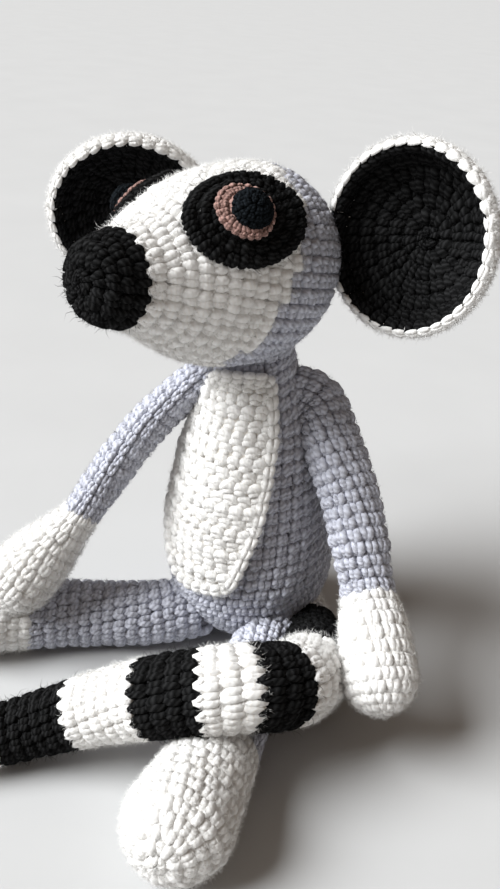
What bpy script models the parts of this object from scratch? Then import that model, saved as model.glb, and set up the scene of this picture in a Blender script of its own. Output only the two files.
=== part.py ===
"""A crocheted ring-tailed lemur soft toy, sitting on the floor with its tail laid over one leg.

Metres, +Z up. The toy faces -Y and its left side is +X. The origin is the point of the floor
under the middle of the trunk, where the flat of the trunk's seat lies. Every crocheted form is
modelled to the crowns of its stitches.
"""
import math

import bmesh
import bpy
from mathutils import Matrix, Vector

MM = 0.001
GAP = 0.3 * MM           # space left between pieces that are sewn or pressed together
SEAM = 0.5 * MM          # space between the trunk and what is sewn to it
WELD = 0.02 * MM         # merge distance for seams of the turned pieces
FABRIC = 3.2 * MM        # thickness of one crocheted layer

# Trunk and neck: round sections from the seat up, (x, y, z, radius).
TRUNK = [(0, 0, 0, 9.5), (0, 0, 1.8, 13.7), (0.1, 0.1, 6, 19.8), (0.4, 0.3, 12, 25.5),
         (0.6, 0.5, 20, 30.1), (0.5, 0.4, 29, 32.5), (0.4, 0.3, 38.5, 33.1), (0.2, 0.1, 50, 32.0),
         (0.1, 0.1, 64, 29.5), (0, 0, 78, 26.5), (0, 0, 91, 23.4), (-0.4, -0.3, 103, 19.6),
         (-1.4, -1.1, 113, 16.4), (-2.3, -1.9, 122, 14.9), (-2.8, -2.4, 131, 14.7)]
NECK_BASE = 110 * MM

# Belly panel, seen from the front: (height, its edge on the toy's right, its edge on the left).
PANEL = [(36.3, -2, 3), (37.5, -6.5, 12), (40, -9.4, 18.2), (44, -12.3, 20.0), (49, -16, 21.3),
         (56, -20.3, 22.6), (64, -22.2, 23.6), (74, -22.6, 23.6), (84, -21.6, 22.9), (94, -18.6, 21.7),
         (103, -14.5, 19.6), (110, -11.4, 17.2), (116, -8.6, 15.6), (119, -6, 14), (120.5, -3, 10)]

# Head: turned about a line that runs from the nose back, (distance from the nose tip, radius).
HEAD = [(2.2, 9.6), (6.5, 13.1), (12.5, 14.6), (19, 16.8), (28, 22.0), (39, 27.6), (51, 31.2), (63, 32.6),
        (75, 31.8), (85, 27.6), (93, 20.8), (98, 12.5)]
HEAD_LENGTH = 100.5
NOSE_END = 14.9          # on the middle line: the black yarn of the nose ends here
FACE_END = 63.0          # and the white yarn of the face here
# How far each colour change leans back for each step to the left, and up.
NOSE_SLANT = (0.0, 0.08)
FACE_SLANT = (-0.20, 0.40)
BACK_START = 58 * MM              # from here the middle line rises
BACK_RISE = 3.5 * MM              # by this much at the back of the head
NOSE_TIP = Vector((-4.9, -75.9, 162.7)) * MM
HEAD_TILT = math.radians(7.6)     # nose up
HEAD_TURN = math.radians(1.0)     # nose towards the toy's right
HEAD_ROLL = math.radians(10.0)    # left side up

# Eyes, mirrored about the head's own middle plane.
EYE_BACK = 42.5 * MM              # from the nose tip along the head
EYE_UP = math.radians(38)         # above the head's side
EYE_PATCH = (20.4 * MM, 16.0 * MM)   # half axes: along the head and round it
EYE_PATCH_SHIFT = (-2.1 * MM, -0.2 * MM)   # towards the nose, and up, from the iris
IRIS_RADIUS = 9.0 * MM
IRIS_THICK = 1.5 * MM
PUPIL_RADIUS = 6.6 * MM
PUPIL_SHIFT = (-1.2 * MM, -0.9 * MM)    # towards the nose, and up, from the iris's middle
PUPIL_HEIGHT = 5.2 * MM

# Ears: two nested cups. Place of the rim's middle, and where the open side looks.
EAR_LINING = 26.5 * MM            # radius of the black lining at the rim
EAR_SHELL = 30.8 * MM             # radius of the white shell at the rim
EAR_DEPTH = 21.0 * MM             # rim plane to the deepest point of the shell's back
EARS = {
    "left": (Vector((43.2, 12.0, 170.0)) * MM, math.radians(1.5), math.radians(7.3)),
    "right": (Vector((-54.8, -11.5, 158.0)) * MM, math.radians(-46.0), math.radians(-13.0)),
}

# Limbs and tail: middle lines with radii, (x, y, z, radius).
ARM_LEFT = [(9, 3, 111, 7.5), (15.5, 8, 108.5, 9.2), (21, 9.6, 103.8, 10.3), (30.3, 7.0, 92.5, 10.9),
            (40.9, 4.6, 79, 10.9), (50.2, 0.6, 65.3, 10.6), (59, -4, 51.4, 9.9), (68.5, -11.5, 42, 12.6),
            (77.6, -19.4, 33.2, 13.6)]
ARM_RIGHT = [(-11, -4, 113, 8.0), (-15.7, -8.6, 110.6, 10.0), (-20.5, -15, 104.8, 10.7),
             (-26.9, -25.8, 94.1, 10.9), (-31.7, -36.7, 81, 10.9), (-35.2, -46.3, 68.2, 10.6),
             (-37.8, -54.5, 58, 9.9), (-42.5, -66.5, 45.6, 12.4), (-46.4, -76.5, 36, 13.6)]
ARM_GREY = {"left": 84.5 * MM, "right": 78 * MM}   # shoulder to cuff
ARM_THIN = {                      # the arms are stuffed lightly: where they are thin, and how thin
    "left": Vector((0.67, -0.69, 0.28)),
    "right": Vector((0.74, 0.13, -0.66)),
}
ARM_FLATNESS = 0.71               # thickness over width
LEG_LEFT = [(22.5, -3, 12.5, 11.8), (27, -17, 13.0, 13.0), (36.5, -40, 13.0, 13.4), (46, -60, 13.1, 13.5),
            (53.8, -79, 14.9, 15.6), (61.5, -98, 17.1, 17.8)]
LEG_RIGHT = [(-3.8, -9.8, 12.0, 11.5), (-8.7, -23.4, 12.5, 12.5), (-20, -39.5, 12.5, 12.9),
             (-35.5, -55.8, 12.8, 13.2), (-50, -72, 14.0, 14.7), (-63, -87.5, 17.1, 17.8)]
LEG_GREY = {"left": 69 * MM, "right": 76 * MM}   # hip to cuff
TAIL = [(8, 15, 10.4, 9.8), (15.8, 14.2, 10.5, 10.1), (22, 9.5, 11.0, 10.5), (28.5, 4, 12.0, 11.0),
        (34.8, -1, 13.8, 11.5), (43.5, -9.5, 17, 12.6), (51, -20, 22, 13.6), (57, -32.5, 28, 14.2),
        (58.5, -46, 34.3, 14.6), (51.5, -62, 39.2, 14.3), (36, -76, 35.3, 13.9), (17, -88, 25, 12.4),
        (-0.5, -103, 14.8, 11.0), (-12, -118, 10.4, 10.3), (-21, -133, 9.3, 9.6), (-27.5, -149, 8.5, 8.8)]
# Colour rings from the base out, but for the tip. Where the tail bends, its rings are pressed short.
RINGS = [30, 37, 20.5, 15, 14.2, 19.2, 27, 27.5, 25.2]

GREY = ("grey_yarn", (0.40, 0.42, 0.52), 0.92)
WHITE = ("white_yarn", (0.86, 0.85, 0.82), 0.92)
BLACK = ("black_yarn", (0.012, 0.012, 0.014), 0.90)
BROWN = ("brown_yarn", (0.42, 0.22, 0.18), 0.88)
NAVY = ("navy_yarn", (0.010, 0.014, 0.024), 0.88)


# ---------------------------------------------------------------- scene and materials

def clear_scene():
    for obj in list(bpy.data.objects):
        bpy.data.objects.remove(obj, do_unlink=True)


def collection(name):
    made = bpy.data.collections.new(name)
    bpy.context.scene.collection.children.link(made)
    return made


def yarn(spec):
    name, colour, roughness = spec
    made = bpy.data.materials.get(name) or bpy.data.materials.new(name)
    made.use_nodes = True
    shader = made.node_tree.nodes["Principled BSDF"]
    shader.inputs["Base Color"].default_value = (*colour, 1)
    shader.inputs["Roughness"].default_value = roughness
    shader.inputs["Metallic"].default_value = 0
    return made


def as_piece(obj, name, spec):
    obj.name = name
    obj.data.name = name
    obj.data.materials.clear()
    obj.data.materials.append(yarn(spec))
    PIECES.objects.link(obj)
    for polygon in obj.data.polygons:
        polygon.use_smooth = True
    return obj


def as_cutter(obj, name):
    obj.name = name
    obj.hide_render = True
    obj.display_type = "WIRE"
    CUTTERS.objects.link(obj)
    return obj


# ---------------------------------------------------------------- smooth sections

def catmull(a, b, c, d, t):
    """Point at t between b and c on the smooth curve through a, b, c and d."""
    return 0.5 * (2 * b + (c - a) * t + (2 * a - 5 * b + 4 * c - d) * t * t
                  + (3 * b - a - 3 * c + d) * t * t * t)


def smoothed(points, per_span):
    """Points of the smooth curve through the given ones, per_span steps between neighbours."""
    ends = [2 * points[0] - points[1]] + list(points) + [2 * points[-1] - points[-2]]
    out = []
    for i in range(len(points) - 1):
        for k in range(per_span):
            out.append(catmull(*ends[i:i + 4], k / per_span))
    return out + [points[-1]]


def radius_at(profile, place):
    """Radius of a turned profile, given as (place, radius) pairs, at any place along it."""
    for (p0, r0), (p1, r1) in zip(profile, profile[1:]):
        if min(p0, p1) <= place <= max(p0, p1):
            return r0 + (r1 - r0) * (place - p0) / (p1 - p0)
    raise ValueError(place)


# ---------------------------------------------------------------- turned pieces

def turned(outline, steps, frame):
    """A closed piece turned about its own Z axis from (radius, z) points, top to bottom."""
    mesh = bpy.data.meshes.new("turned")
    points = [(radius, 0.0, z) for radius, z in outline]
    mesh.from_pydata(points, [(i, i + 1) for i in range(len(points) - 1)], [])
    obj = bpy.data.objects.new("turned", mesh)
    screw = obj.modifiers.new("turn", "SCREW")
    screw.steps = steps
    screw.render_steps = steps
    screw.use_merge_vertices = True
    screw.merge_threshold = WELD
    screw.use_smooth_shade = True
    obj.matrix_world = frame
    return obj


def evaluated_mesh(obj):
    """A new mesh with the object's modifiers applied, its seams welded."""
    bpy.context.view_layer.update()
    graph = bpy.context.evaluated_depsgraph_get()
    mesh = bpy.data.meshes.new_from_object(obj.evaluated_get(graph))
    shape = bmesh.new()
    shape.from_mesh(mesh)
    bmesh.ops.remove_doubles(shape, verts=shape.verts, dist=WELD)
    shape.to_mesh(mesh)
    shape.free()
    return mesh


def made_solid(obj):
    """The object with its modifiers applied, so that it can be cut or serve as a cutter."""
    CUTTERS.objects.link(obj)
    mesh = evaluated_mesh(obj)
    solid = bpy.data.objects.new(obj.name, mesh)
    solid.matrix_world = obj.matrix_world
    bpy.data.objects.remove(obj, do_unlink=True)
    return solid


def grown(solid, amount, name):
    """A cutter: the solid with its surface moved outwards."""
    cutter = bpy.data.objects.new(name, solid.data.copy())
    cutter.matrix_world = solid.matrix_world
    swell = cutter.modifiers.new("grow", "DISPLACE")
    swell.strength = amount
    swell.mid_level = 0
    return as_cutter(cutter, name)


def cut(solid, cutter, operation="DIFFERENCE", solver="EXACT"):
    change = solid.modifiers.new(cutter.name[:40], "BOOLEAN")
    change.operation = operation
    change.object = cutter
    change.solver = solver


# ---------------------------------------------------------------- tubes

class Route:
    """A smooth middle line with a radius, read by the distance along it."""

    def __init__(self, keys, per_span=12):
        self.points = smoothed([Vector(key) * MM for key in keys], per_span)
        self.places = [0.0]
        for here, there in zip(self.points, self.points[1:]):
            self.places.append(self.places[-1] + (there.xyz - here.xyz).length)
        self.length = self.places[-1]

    def at(self, place):
        place = max(0.0, place)
        for i in range(len(self.places) - 1):
            if place <= self.places[i + 1]:
                share = (place - self.places[i]) / (self.places[i + 1] - self.places[i])
                return self.points[i].lerp(self.points[i + 1], share)
        onward = (self.points[-1] - self.points[-2]).xyz.normalized() * (place - self.length)
        last = self.points[-1]
        return Vector((*(last.xyz + onward), last.w))

    def heading(self, place):
        return (self.at(place + HEADING_STEP).xyz - self.at(place - HEADING_STEP).xyz).normalized()


HEADING_STEP = 1.5 * MM


def tube(route, start, end, spacing, round_start=False, round_end=False, sides=4):
    """A closed tube along part of a route. A rounded end is a half ball beyond the route."""
    count = max(2, round((end - start) / spacing))
    places = [start + (end - start) * k / count for k in range(count + 1)]
    stations = [(point.xyz, point.w) for point in map(route.at, places)]
    if not round_start:
        stations.insert(1, (stations[0][0] + route.heading(start) * END_STEP, stations[0][1]))
    if not round_end:
        stations.insert(-1, (stations[-1][0] - route.heading(end) * END_STEP, stations[-1][1]))
    if round_start:
        stations = dome(stations[0], stations[1])[::-1] + stations
    if round_end:
        stations += dome(stations[-1], stations[-2])
    curve = bpy.data.curves.new("tube", "CURVE")
    curve.dimensions = "3D"
    curve.twist_mode = "MINIMUM"
    curve.bevel_depth = 1.0
    curve.bevel_resolution = sides
    curve.use_fill_caps = True
    spline = curve.splines.new("POLY")
    spline.points.add(len(stations) - 1)
    for point, (place, radius) in zip(spline.points, stations):
        point.co = (*place, 1)
        point.radius = radius
    return made_solid(bpy.data.objects.new("tube", curve))


def dome(last, before):
    """Stations that close a tube in a half ball past its last one."""
    place, radius = last
    onward = (place - before[0]).normalized()
    out = []
    for k in range(1, DOME_STEPS + 1):
        turn = DOME_TURN * k / DOME_STEPS
        out.append((place + onward * radius * math.sin(turn), radius * math.cos(turn)))
    return out


END_STEP = 0.8 * MM      # a short first and last step keeps a flat end square to the route
DOME_STEPS = 4
DOME_TURN = math.radians(82)
TAIL_SPACING = 5.5 * MM


# ---------------------------------------------------------------- the toy

def frame_along(direction, roll=0.0):
    """Rotation whose Z looks along direction, X to the toy's left of it and Y up."""
    z = direction.normalized()
    x = z.cross(Vector((0, 0, 1))).normalized() * -1
    y = z.cross(x)
    turn = Matrix((x, y, z)).transposed()
    return turn.to_4x4() @ Matrix.Rotation(roll, 4, "Z")


def facing(turn, tilt):
    """Direction that looks to the front, turned towards the toy's right and tilted up."""
    return Vector((-math.sin(turn) * math.cos(tilt), -math.cos(turn) * math.cos(tilt), math.sin(tilt)))


def head_frame():
    return Matrix.Translation(NOSE_TIP) @ frame_along(facing(HEAD_TURN, HEAD_TILT), HEAD_ROLL)


def back_rise(place):
    """How far the head's middle line has risen at a distance from the nose tip."""
    share = max(0.0, place - BACK_START) / (HEAD_LENGTH * MM - BACK_START)
    return BACK_RISE * share


def sliced(solid, name, end, slant, keep_front):
    """The solid with one side of a slanted plane across the head taken off, and the cut closed."""
    left, up = slant
    shape = bmesh.new()
    shape.from_mesh(solid.data)
    bmesh.ops.bisect_plane(shape, geom=shape.verts[:] + shape.edges[:] + shape.faces[:], dist=WELD,
                           plane_co=(0, 0, -end), plane_no=(-left, -up, -1),
                           clear_outer=keep_front, clear_inner=not keep_front)
    bmesh.ops.holes_fill(shape, edges=[edge for edge in shape.edges if edge.is_boundary])
    mesh = bpy.data.meshes.new(name)
    shape.to_mesh(mesh)
    shape.free()
    piece = bpy.data.objects.new(name, mesh)
    piece.matrix_world = solid.matrix_world
    return piece


def build_head():
    outline = [(0, 0)] + [(radius * MM, -place * MM) for place, radius in HEAD] + [(0, -HEAD_LENGTH * MM)]
    whole = made_solid(turned(outline, HEAD_STEPS, head_frame()))
    for vertex in whole.data.vertices:
        vertex.co.y += back_rise(-vertex.co.z)
    nose, face = NOSE_END * MM, FACE_END * MM
    as_piece(sliced(whole, "nose", nose, NOSE_SLANT, True), "head_nose", BLACK)
    rest = sliced(whole, "rest", nose + GAP, NOSE_SLANT, False)
    as_piece(sliced(rest, "face", face, FACE_SLANT, True), "head_face", WHITE)
    as_piece(sliced(rest, "back", face + GAP, FACE_SLANT, False), "head_back", GREY)
    bpy.data.objects.remove(rest, do_unlink=True)
    return whole


HEAD_STEPS = 28


def build_eye(side, head):
    """Patch, iris and pupil of one eye, each lying on the one below."""
    sign = 1 if side == "left" else -1
    frame = head_frame()
    reach = radius_at(HEAD, EYE_BACK / MM) * MM
    slope = math.atan2(radius_at(HEAD, EYE_BACK / MM + 5) - radius_at(HEAD, EYE_BACK / MM - 5), 10)
    outward = Vector((sign * math.cos(EYE_UP), math.sin(EYE_UP), 0))
    normal = outward * math.cos(slope) + Vector((0, 0, math.sin(slope)))
    along = (Vector((0, 0, -1)) - normal * normal.dot(Vector((0, 0, -1)))).normalized()
    axes = Matrix((along, normal.cross(along), normal)).transposed().to_4x4()
    place = frame @ Matrix.Translation(outward * reach + Vector((0, 0, -EYE_BACK))) @ axes

    def column(radii, shift, name):
        bpy.ops.mesh.primitive_cylinder_add(vertices=EYE_SIDES, radius=1, depth=2)
        post = bpy.context.object
        for owner in list(post.users_collection):
            owner.objects.unlink(post)
        across = Matrix.Diagonal((radii[0], radii[1], EYE_REACH, 1))
        lift = Matrix.Translation((-shift[0], sign * shift[1], EYE_REACH / 2))
        post.data.transform(lift @ across)
        post.matrix_world = place
        return as_cutter(post, name)

    layers = [("patch", BLACK, GAP, FABRIC, EYE_PATCH, EYE_PATCH_SHIFT),
              ("iris", BROWN, FABRIC + GAP, FABRIC + GAP + IRIS_THICK, (IRIS_RADIUS, IRIS_RADIUS), (0, 0))]
    for layer, spec, inner, outer, radii, shift in layers:
        name = f"eye_{side}_{layer}"
        shell = bpy.data.objects.new(name, head.data.copy())
        shell.matrix_world = head.matrix_world
        swell = shell.modifiers.new("grow", "DISPLACE")
        swell.strength = outer
        swell.mid_level = 0
        cut(shell, column(radii, shift, f"cut_{name}"), "INTERSECT")
        cut(shell, grown(head, inner, f"cut_{name}_under"))
        as_piece(shell, name, spec)
    base = FABRIC + GAP + IRIS_THICK
    bpy.ops.mesh.primitive_uv_sphere_add(segments=PUPIL_SIDES, ring_count=PUPIL_ROWS, radius=1)
    ball = bpy.context.object
    for owner in list(ball.users_collection):
        owner.objects.unlink(ball)
    ball.data.transform(Matrix.Translation((-PUPIL_SHIFT[0], sign * PUPIL_SHIFT[1], base - PUPIL_SUNK))
                        @ Matrix.Diagonal((PUPIL_RADIUS, PUPIL_RADIUS, PUPIL_HEIGHT + PUPIL_SUNK, 1)))
    ball.matrix_world = place
    cut(ball, grown(head, base + GAP, f"cut_eye_{side}_pupil_under"))
    as_piece(ball, f"eye_{side}_pupil", NAVY)


EYE_SIDES = 30
EYE_REACH = 14 * MM
PUPIL_SUNK = 1.5 * MM
PUPIL_SIDES = 16
PUPIL_ROWS = 8


def cup(outer, thickness, depth, steps, frame):
    """An open cup turned about Z, its rim at z = 0 and its open side up."""
    turns = [math.radians(90) * k / CUP_STEPS for k in range(CUP_STEPS + 1)]
    outside = [(outer * math.cos(a) ** CUP_SQUARE, -depth * math.sin(a)) for a in turns]
    hollow = depth - thickness
    inside = [((outer - thickness) * math.cos(a) ** CUP_SQUARE, -hollow * math.sin(a)) for a in turns]
    outside[-1] = (0, -depth)
    inside[-1] = (0, -hollow)
    return made_solid(turned(inside[::-1] + outside, steps, frame))


CUP_STEPS = 5
CUP_SQUARE = 0.85
EAR_STEPS = 20


def build_ear(side, head):
    middle, turn, tilt = EARS[side]
    frame = Matrix.Translation(middle) @ frame_along(facing(turn, tilt))
    wall = EAR_SHELL - EAR_LINING - GAP
    shell = cup(EAR_SHELL, wall, EAR_DEPTH, EAR_STEPS, frame)
    lining = cup(EAR_LINING, FABRIC, EAR_DEPTH - wall - GAP, EAR_STEPS, frame)
    keep_off = grown(head, GAP, f"cut_ear_{side}_head")
    for solid, layer, spec in ((shell, "shell", WHITE), (lining, "lining", BLACK)):
        cut(solid, keep_off)
        as_piece(solid, f"ear_{side}_{layer}", spec)


def build_trunk(head):
    """Trunk and neck on one line. Returns the two as one solid, and cutters that keep others off them."""
    route = Route(TRUNK, 2)
    spacing = TRUNK_SPACING
    trunk = tube(route, 0, NECK_BASE, spacing, sides=TRUNK_RESOLUTION)
    neck = tube(route, NECK_BASE + GAP, route.length, spacing, sides=TRUNK_RESOLUTION)
    whole = tube(route, 0, route.length, spacing, sides=TRUNK_RESOLUTION)
    swelled = [grown(trunk, SEAM, "cut_trunk"), grown(neck, SEAM, "cut_neck")]
    cut(neck, grown(head, GAP, "cut_neck_head"))
    as_piece(trunk, "trunk", GREY)
    as_piece(neck, "neck", GREY)
    return as_cutter(whole, "guide_trunk"), swelled


TRUNK_RESOLUTION = 6
TRUNK_SPACING = 7 * MM


def build_panel(trunk, under, keep_off):
    """A flat-worked panel that wraps the front of the trunk."""
    right = smoothed([Vector((edge, height)) * MM for height, edge, _ in PANEL], 2)
    left = smoothed([Vector((edge, height)) * MM for height, _, edge in PANEL], 2)
    around = left + right[::-1]
    curve = bpy.data.curves.new("panel", "CURVE")
    curve.dimensions = "2D"
    curve.fill_mode = "BOTH"
    curve.extrude = (PANEL_FRONT - PANEL_BACK) / 2
    spline = curve.splines.new("POLY")
    spline.points.add(len(around) - 1)
    for point, place in zip(spline.points, around):
        point.co = (place.x, place.y, 0, 1)
    spline.use_cyclic_u = True
    outline = bpy.data.objects.new("panel", curve)
    outline.matrix_world = (Matrix.Translation((0, -(PANEL_FRONT + PANEL_BACK) / 2, 0))
                            @ Matrix.Rotation(math.radians(90), 4, "X"))
    window = as_cutter(made_solid(outline), "cut_belly_panel")
    panel = bpy.data.objects.new("belly_panel", trunk.data.copy())
    swell = panel.modifiers.new("grow", "DISPLACE")
    swell.strength = FABRIC
    swell.mid_level = 0
    cut(panel, window, "INTERSECT")
    for cutter in under + keep_off:
        cut(panel, cutter)
    as_piece(panel, "belly_panel", WHITE)


PANEL_FRONT = 60 * MM    # the window that cuts the panel out runs from here, in front of the toy,
PANEL_BACK = 9.5 * MM    # to here


def floor_box():
    """Everything under the floor."""
    bpy.ops.mesh.primitive_cube_add(size=1)
    box = bpy.context.object
    for owner in list(box.users_collection):
        owner.objects.unlink(box)
    box.data.transform(Matrix.Translation((0, 0, -FLOOR_DEPTH / 2))
                       @ Matrix.Diagonal((FLOOR_SIDE, FLOOR_SIDE, FLOOR_DEPTH, 1)))
    return as_cutter(box, "cut_floor")


FLOOR_SIDE = 500 * MM
FLOOR_DEPTH = 40 * MM


def flattened(solid, route, cuff, thin):
    """Presses a tube thin in one direction, fading out over the hand."""
    axis = thin.normalized()
    for vertex in solid.data.vertices:
        nearest = min(range(len(route.points)), key=lambda i: (route.points[i].xyz - vertex.co).length)
        past = (route.places[nearest] - cuff) / FLAT_FADE
        share = ARM_FLATNESS + (1 - ARM_FLATNESS) * min(1, max(0, past))
        off = (vertex.co - route.points[nearest].xyz).dot(axis)
        vertex.co -= axis * off * (1 - share)


def build_limb(side, limb, end, keys, grey, cutters, thin=None):
    """Grey part and white end of an arm or a leg. Returns cutters that keep others off them."""
    route = Route(keys)
    upper = tube(route, 0, grey, LIMB_SPACING, round_start=True)
    lower = tube(route, grey + GAP, route.length, LIMB_END_SPACING, round_end=True)
    swelled = []
    for solid, kind, spec in ((upper, limb, GREY), (lower, end, WHITE)):
        if thin:
            flattened(solid, route, grey, thin)
        swelled.append(grown(solid, GAP, f"cut_{kind}_{side}"))
        for cutter in cutters:
            cut(solid, cutter, solver="MANIFOLD")
        as_piece(solid, f"{kind}_{side}", spec)
    return swelled


LIMB_SPACING = 9 * MM
LIMB_END_SPACING = 6 * MM
FLAT_FADE = 24 * MM


def build_tail(cutters):
    """Colour rings from the base out. The last one closes in a rounded tip."""
    route = Route(TAIL)
    start = 0
    for k, length in enumerate(RINGS + [0]):
        last = k == len(RINGS)
        end = route.length if last else start + length * MM
        ring = tube(route, start, end, TAIL_SPACING, round_start=k == 0, round_end=last)
        for cutter in cutters:
            cut(ring, cutter, solver="MANIFOLD")
        as_piece(ring, f"tail_{k + 1:02d}", BLACK if k % 2 else WHITE)
        start = end + GAP


clear_scene()
PIECES = collection("lemur_toy")
CUTTERS = collection("cutters")

head_guide = as_cutter(build_head(), "guide_head")
for toy_side in ("left", "right"):
    build_eye(toy_side, head_guide)
    build_ear(toy_side, head_guide)
trunk_guide, trunk_cutters = build_trunk(head_guide)
floor = floor_box()
head_cutter = grown(head_guide, GAP, "cut_head")
sitting = [floor] + trunk_cutters
leg_left = build_limb("left", "leg", "foot", LEG_LEFT, LEG_GREY["left"], sitting)
leg_right = build_limb("right", "leg", "foot", LEG_RIGHT, LEG_GREY["right"], sitting)
hanging = [head_cutter] + trunk_cutters
arm_left = build_limb("left", "arm", "hand", ARM_LEFT, ARM_GREY["left"], hanging + leg_left, ARM_THIN["left"])
arm_right = build_limb("right", "arm", "hand", ARM_RIGHT, ARM_GREY["right"], hanging + leg_right,
                       ARM_THIN["right"])
build_tail(sitting + leg_left + arm_left)
build_panel(trunk_guide, trunk_cutters, [head_cutter] + arm_left + arm_right)
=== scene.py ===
"""Crocheted ring-tailed lemur soft toy: yarn stitches, eyes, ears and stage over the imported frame.

Metres, +Z up. The toy faces -Y and its left side is +X.
"""
import math

import bpy
import numpy as np
from bpy.props import FloatProperty, FloatVectorProperty, IntProperty, PointerProperty
from mathutils import Matrix, Vector


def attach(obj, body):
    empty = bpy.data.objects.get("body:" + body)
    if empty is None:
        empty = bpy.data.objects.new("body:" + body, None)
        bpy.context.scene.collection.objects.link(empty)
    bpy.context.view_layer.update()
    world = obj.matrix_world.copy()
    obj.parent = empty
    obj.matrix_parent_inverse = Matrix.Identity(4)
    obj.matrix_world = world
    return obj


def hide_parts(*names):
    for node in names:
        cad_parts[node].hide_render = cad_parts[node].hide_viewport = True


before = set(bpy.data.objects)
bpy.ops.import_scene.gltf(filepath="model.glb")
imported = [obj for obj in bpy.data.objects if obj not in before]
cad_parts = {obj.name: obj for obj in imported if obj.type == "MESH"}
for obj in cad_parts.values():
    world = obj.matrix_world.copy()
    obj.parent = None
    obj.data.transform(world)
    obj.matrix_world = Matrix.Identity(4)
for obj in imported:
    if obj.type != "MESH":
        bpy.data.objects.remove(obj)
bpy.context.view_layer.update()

bl_info = {
    "name": "Crocheted Lemur",
    "version": (1, 0, 0),
    "blender": (4, 5, 0),
    "location": "View3D > Sidebar > Crochet",
    "description": "Makes a crocheted ring-tailed lemur soft toy, stitch by stitch",
    "category": "Add Mesh",
}

MM = 0.001
FULL = 2 * math.pi

# ---- Sizes of the toy, in millimetres

# Trunk and neck, from the seat up: (x, y, z, radius).
TRUNK = [(0, 0, 0, 9.5), (0, 0, 1.8, 13.7), (0.1, 0.1, 6, 19.8), (0.4, 0.3, 12, 25.5),
         (0.6, 0.5, 20, 30.1), (0.5, 0.4, 29, 32.5), (0.4, 0.3, 38.5, 33.1), (0.2, 0.1, 50, 32.0),
         (0.1, 0.1, 64, 29.5), (0, 0, 78, 26.5), (0, 0, 91, 23.4), (-0.4, -0.3, 103, 19.6),
         (-1.4, -1.1, 113, 16.4), (-2.3, -1.9, 122, 14.9), (-2.8, -2.4, 131, 14.7)]
NECK_BASE = 110
# Belly panel, seen from the front: (height, its edge on the toy's right, its edge on the left).
PANEL = [(36.3, -2, 3), (37.5, -6.5, 12), (40, -9.4, 18.2), (44, -12.3, 20.0), (49, -16, 21.3),
         (56, -20.3, 22.6), (64, -22.2, 23.6), (74, -22.6, 23.6), (84, -21.6, 22.9), (94, -18.6, 21.7),
         (103, -14.5, 19.6), (110, -11.4, 17.2), (116, -8.6, 15.6), (119, -6, 14), (120.5, -3, 10)]
FABRIC = 3.2             # one crocheted layer

# Head, turned about a line from the nose back: (distance from the nose tip, radius).
HEAD = [(0, 0), (2.2, 9.6), (6.5, 13.1), (12.5, 14.6), (19, 16.8), (28, 22.0), (39, 27.6), (51, 31.2),
        (63, 32.6), (75, 31.8), (85, 27.6), (93, 20.8), (98, 12.5), (100.5, 0)]
HEAD_LENGTH = 100.5
NOSE_END, NOSE_SLANT = 14.9, (0.0, 0.08)      # colour changes, and how far they lean back for each
FACE_END, FACE_SLANT = 63.0, (-0.20, 0.40)    # step to the left, and up
BACK_START, BACK_RISE = 58.0, 3.5             # the middle line rises towards the back of the head
NOSE_TIP = (-4.9, -75.9, 162.7)
HEAD_TILT, HEAD_TURN, HEAD_ROLL = 7.6, 1.0, 10.0     # degrees: nose up, to the right, left side up

EYE_BACK, EYE_UP = 42.5, 38.0
EYE_PATCH, EYE_PATCH_SHIFT = (20.4, 16.0), (-2.1, -0.2)
IRIS_RADIUS, IRIS_THICK = 9.6, 1.5
IRIS_EDGE, IRIS_BEND = 1.3, math.radians(55)     # roll of the braid round an iris, and how far over the edge
PUPIL_RADIUS, PUPIL_HEIGHT, PUPIL_SHIFT, PUPIL_SUNK = 6.6, 5.2, (-1.2, -0.9), 1.5
PATCH_REACH, EYE_GAP = 0.4, 0.3     # how far the patch's stitches reach past it, and from patch to iris
# The disc behind the stitches: how far below them, how much smaller in radius, and how thick.
PATCH_UNDER, IRIS_UNDER, PUPIL_UNDER = (1.7, 1.6, 1.2), (0.9, 0.8, 0.7), 1.2

EAR_LINING, EAR_SHELL, EAR_DEPTH, CUP_SQUARE = 26.5, 30.8, 21.0, 0.85
LINING_EDGE = 0.8        # the lining thins out towards the rim
# The braid on an ear's edge: radius round the ear, its roll, how far over the edge, and how far back it sits.
RIM_RADIUS, RIM_ROLL, RIM_BEND, RIM_BACK = 28.2, 2.3, math.radians(58), 1.6
RIM_PART = {"shell": 1.0, "lining": 0.0}        # what the braid covers of each cup
EARS = {"left": ((43.2, 12.0, 170.0), 1.5, 7.3), "right": ((-54.8, -11.5, 158.0), -46.0, -13.0)}

ARMS = {
    "left": [(9, 3, 111, 7.5), (15.5, 8, 108.5, 9.2), (21, 9.6, 103.8, 10.3), (30.3, 7.0, 92.5, 10.9),
             (40.9, 4.6, 79, 10.9), (50.2, 0.6, 65.3, 10.6), (59, -4, 51.4, 9.9), (68.5, -11.5, 42, 12.6),
             (77.6, -19.4, 33.2, 13.6)],
    "right": [(-11, -4, 113, 8.0), (-15.7, -8.6, 110.6, 10.0), (-20.5, -15, 104.8, 10.7),
              (-26.9, -25.8, 94.1, 10.9), (-31.7, -36.7, 81, 10.9), (-35.2, -46.3, 68.2, 10.6),
              (-37.8, -54.5, 58, 9.9), (-42.5, -66.5, 45.6, 12.4), (-46.4, -76.5, 36, 13.6)],
}
ARM_GREY = {"left": 84.5, "right": 78.0}
ARM_THIN = {"left": (0.67, -0.69, 0.28), "right": (0.74, 0.13, -0.66)}
ARM_FLATNESS, FLAT_FADE = 0.71, 24.0
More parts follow.
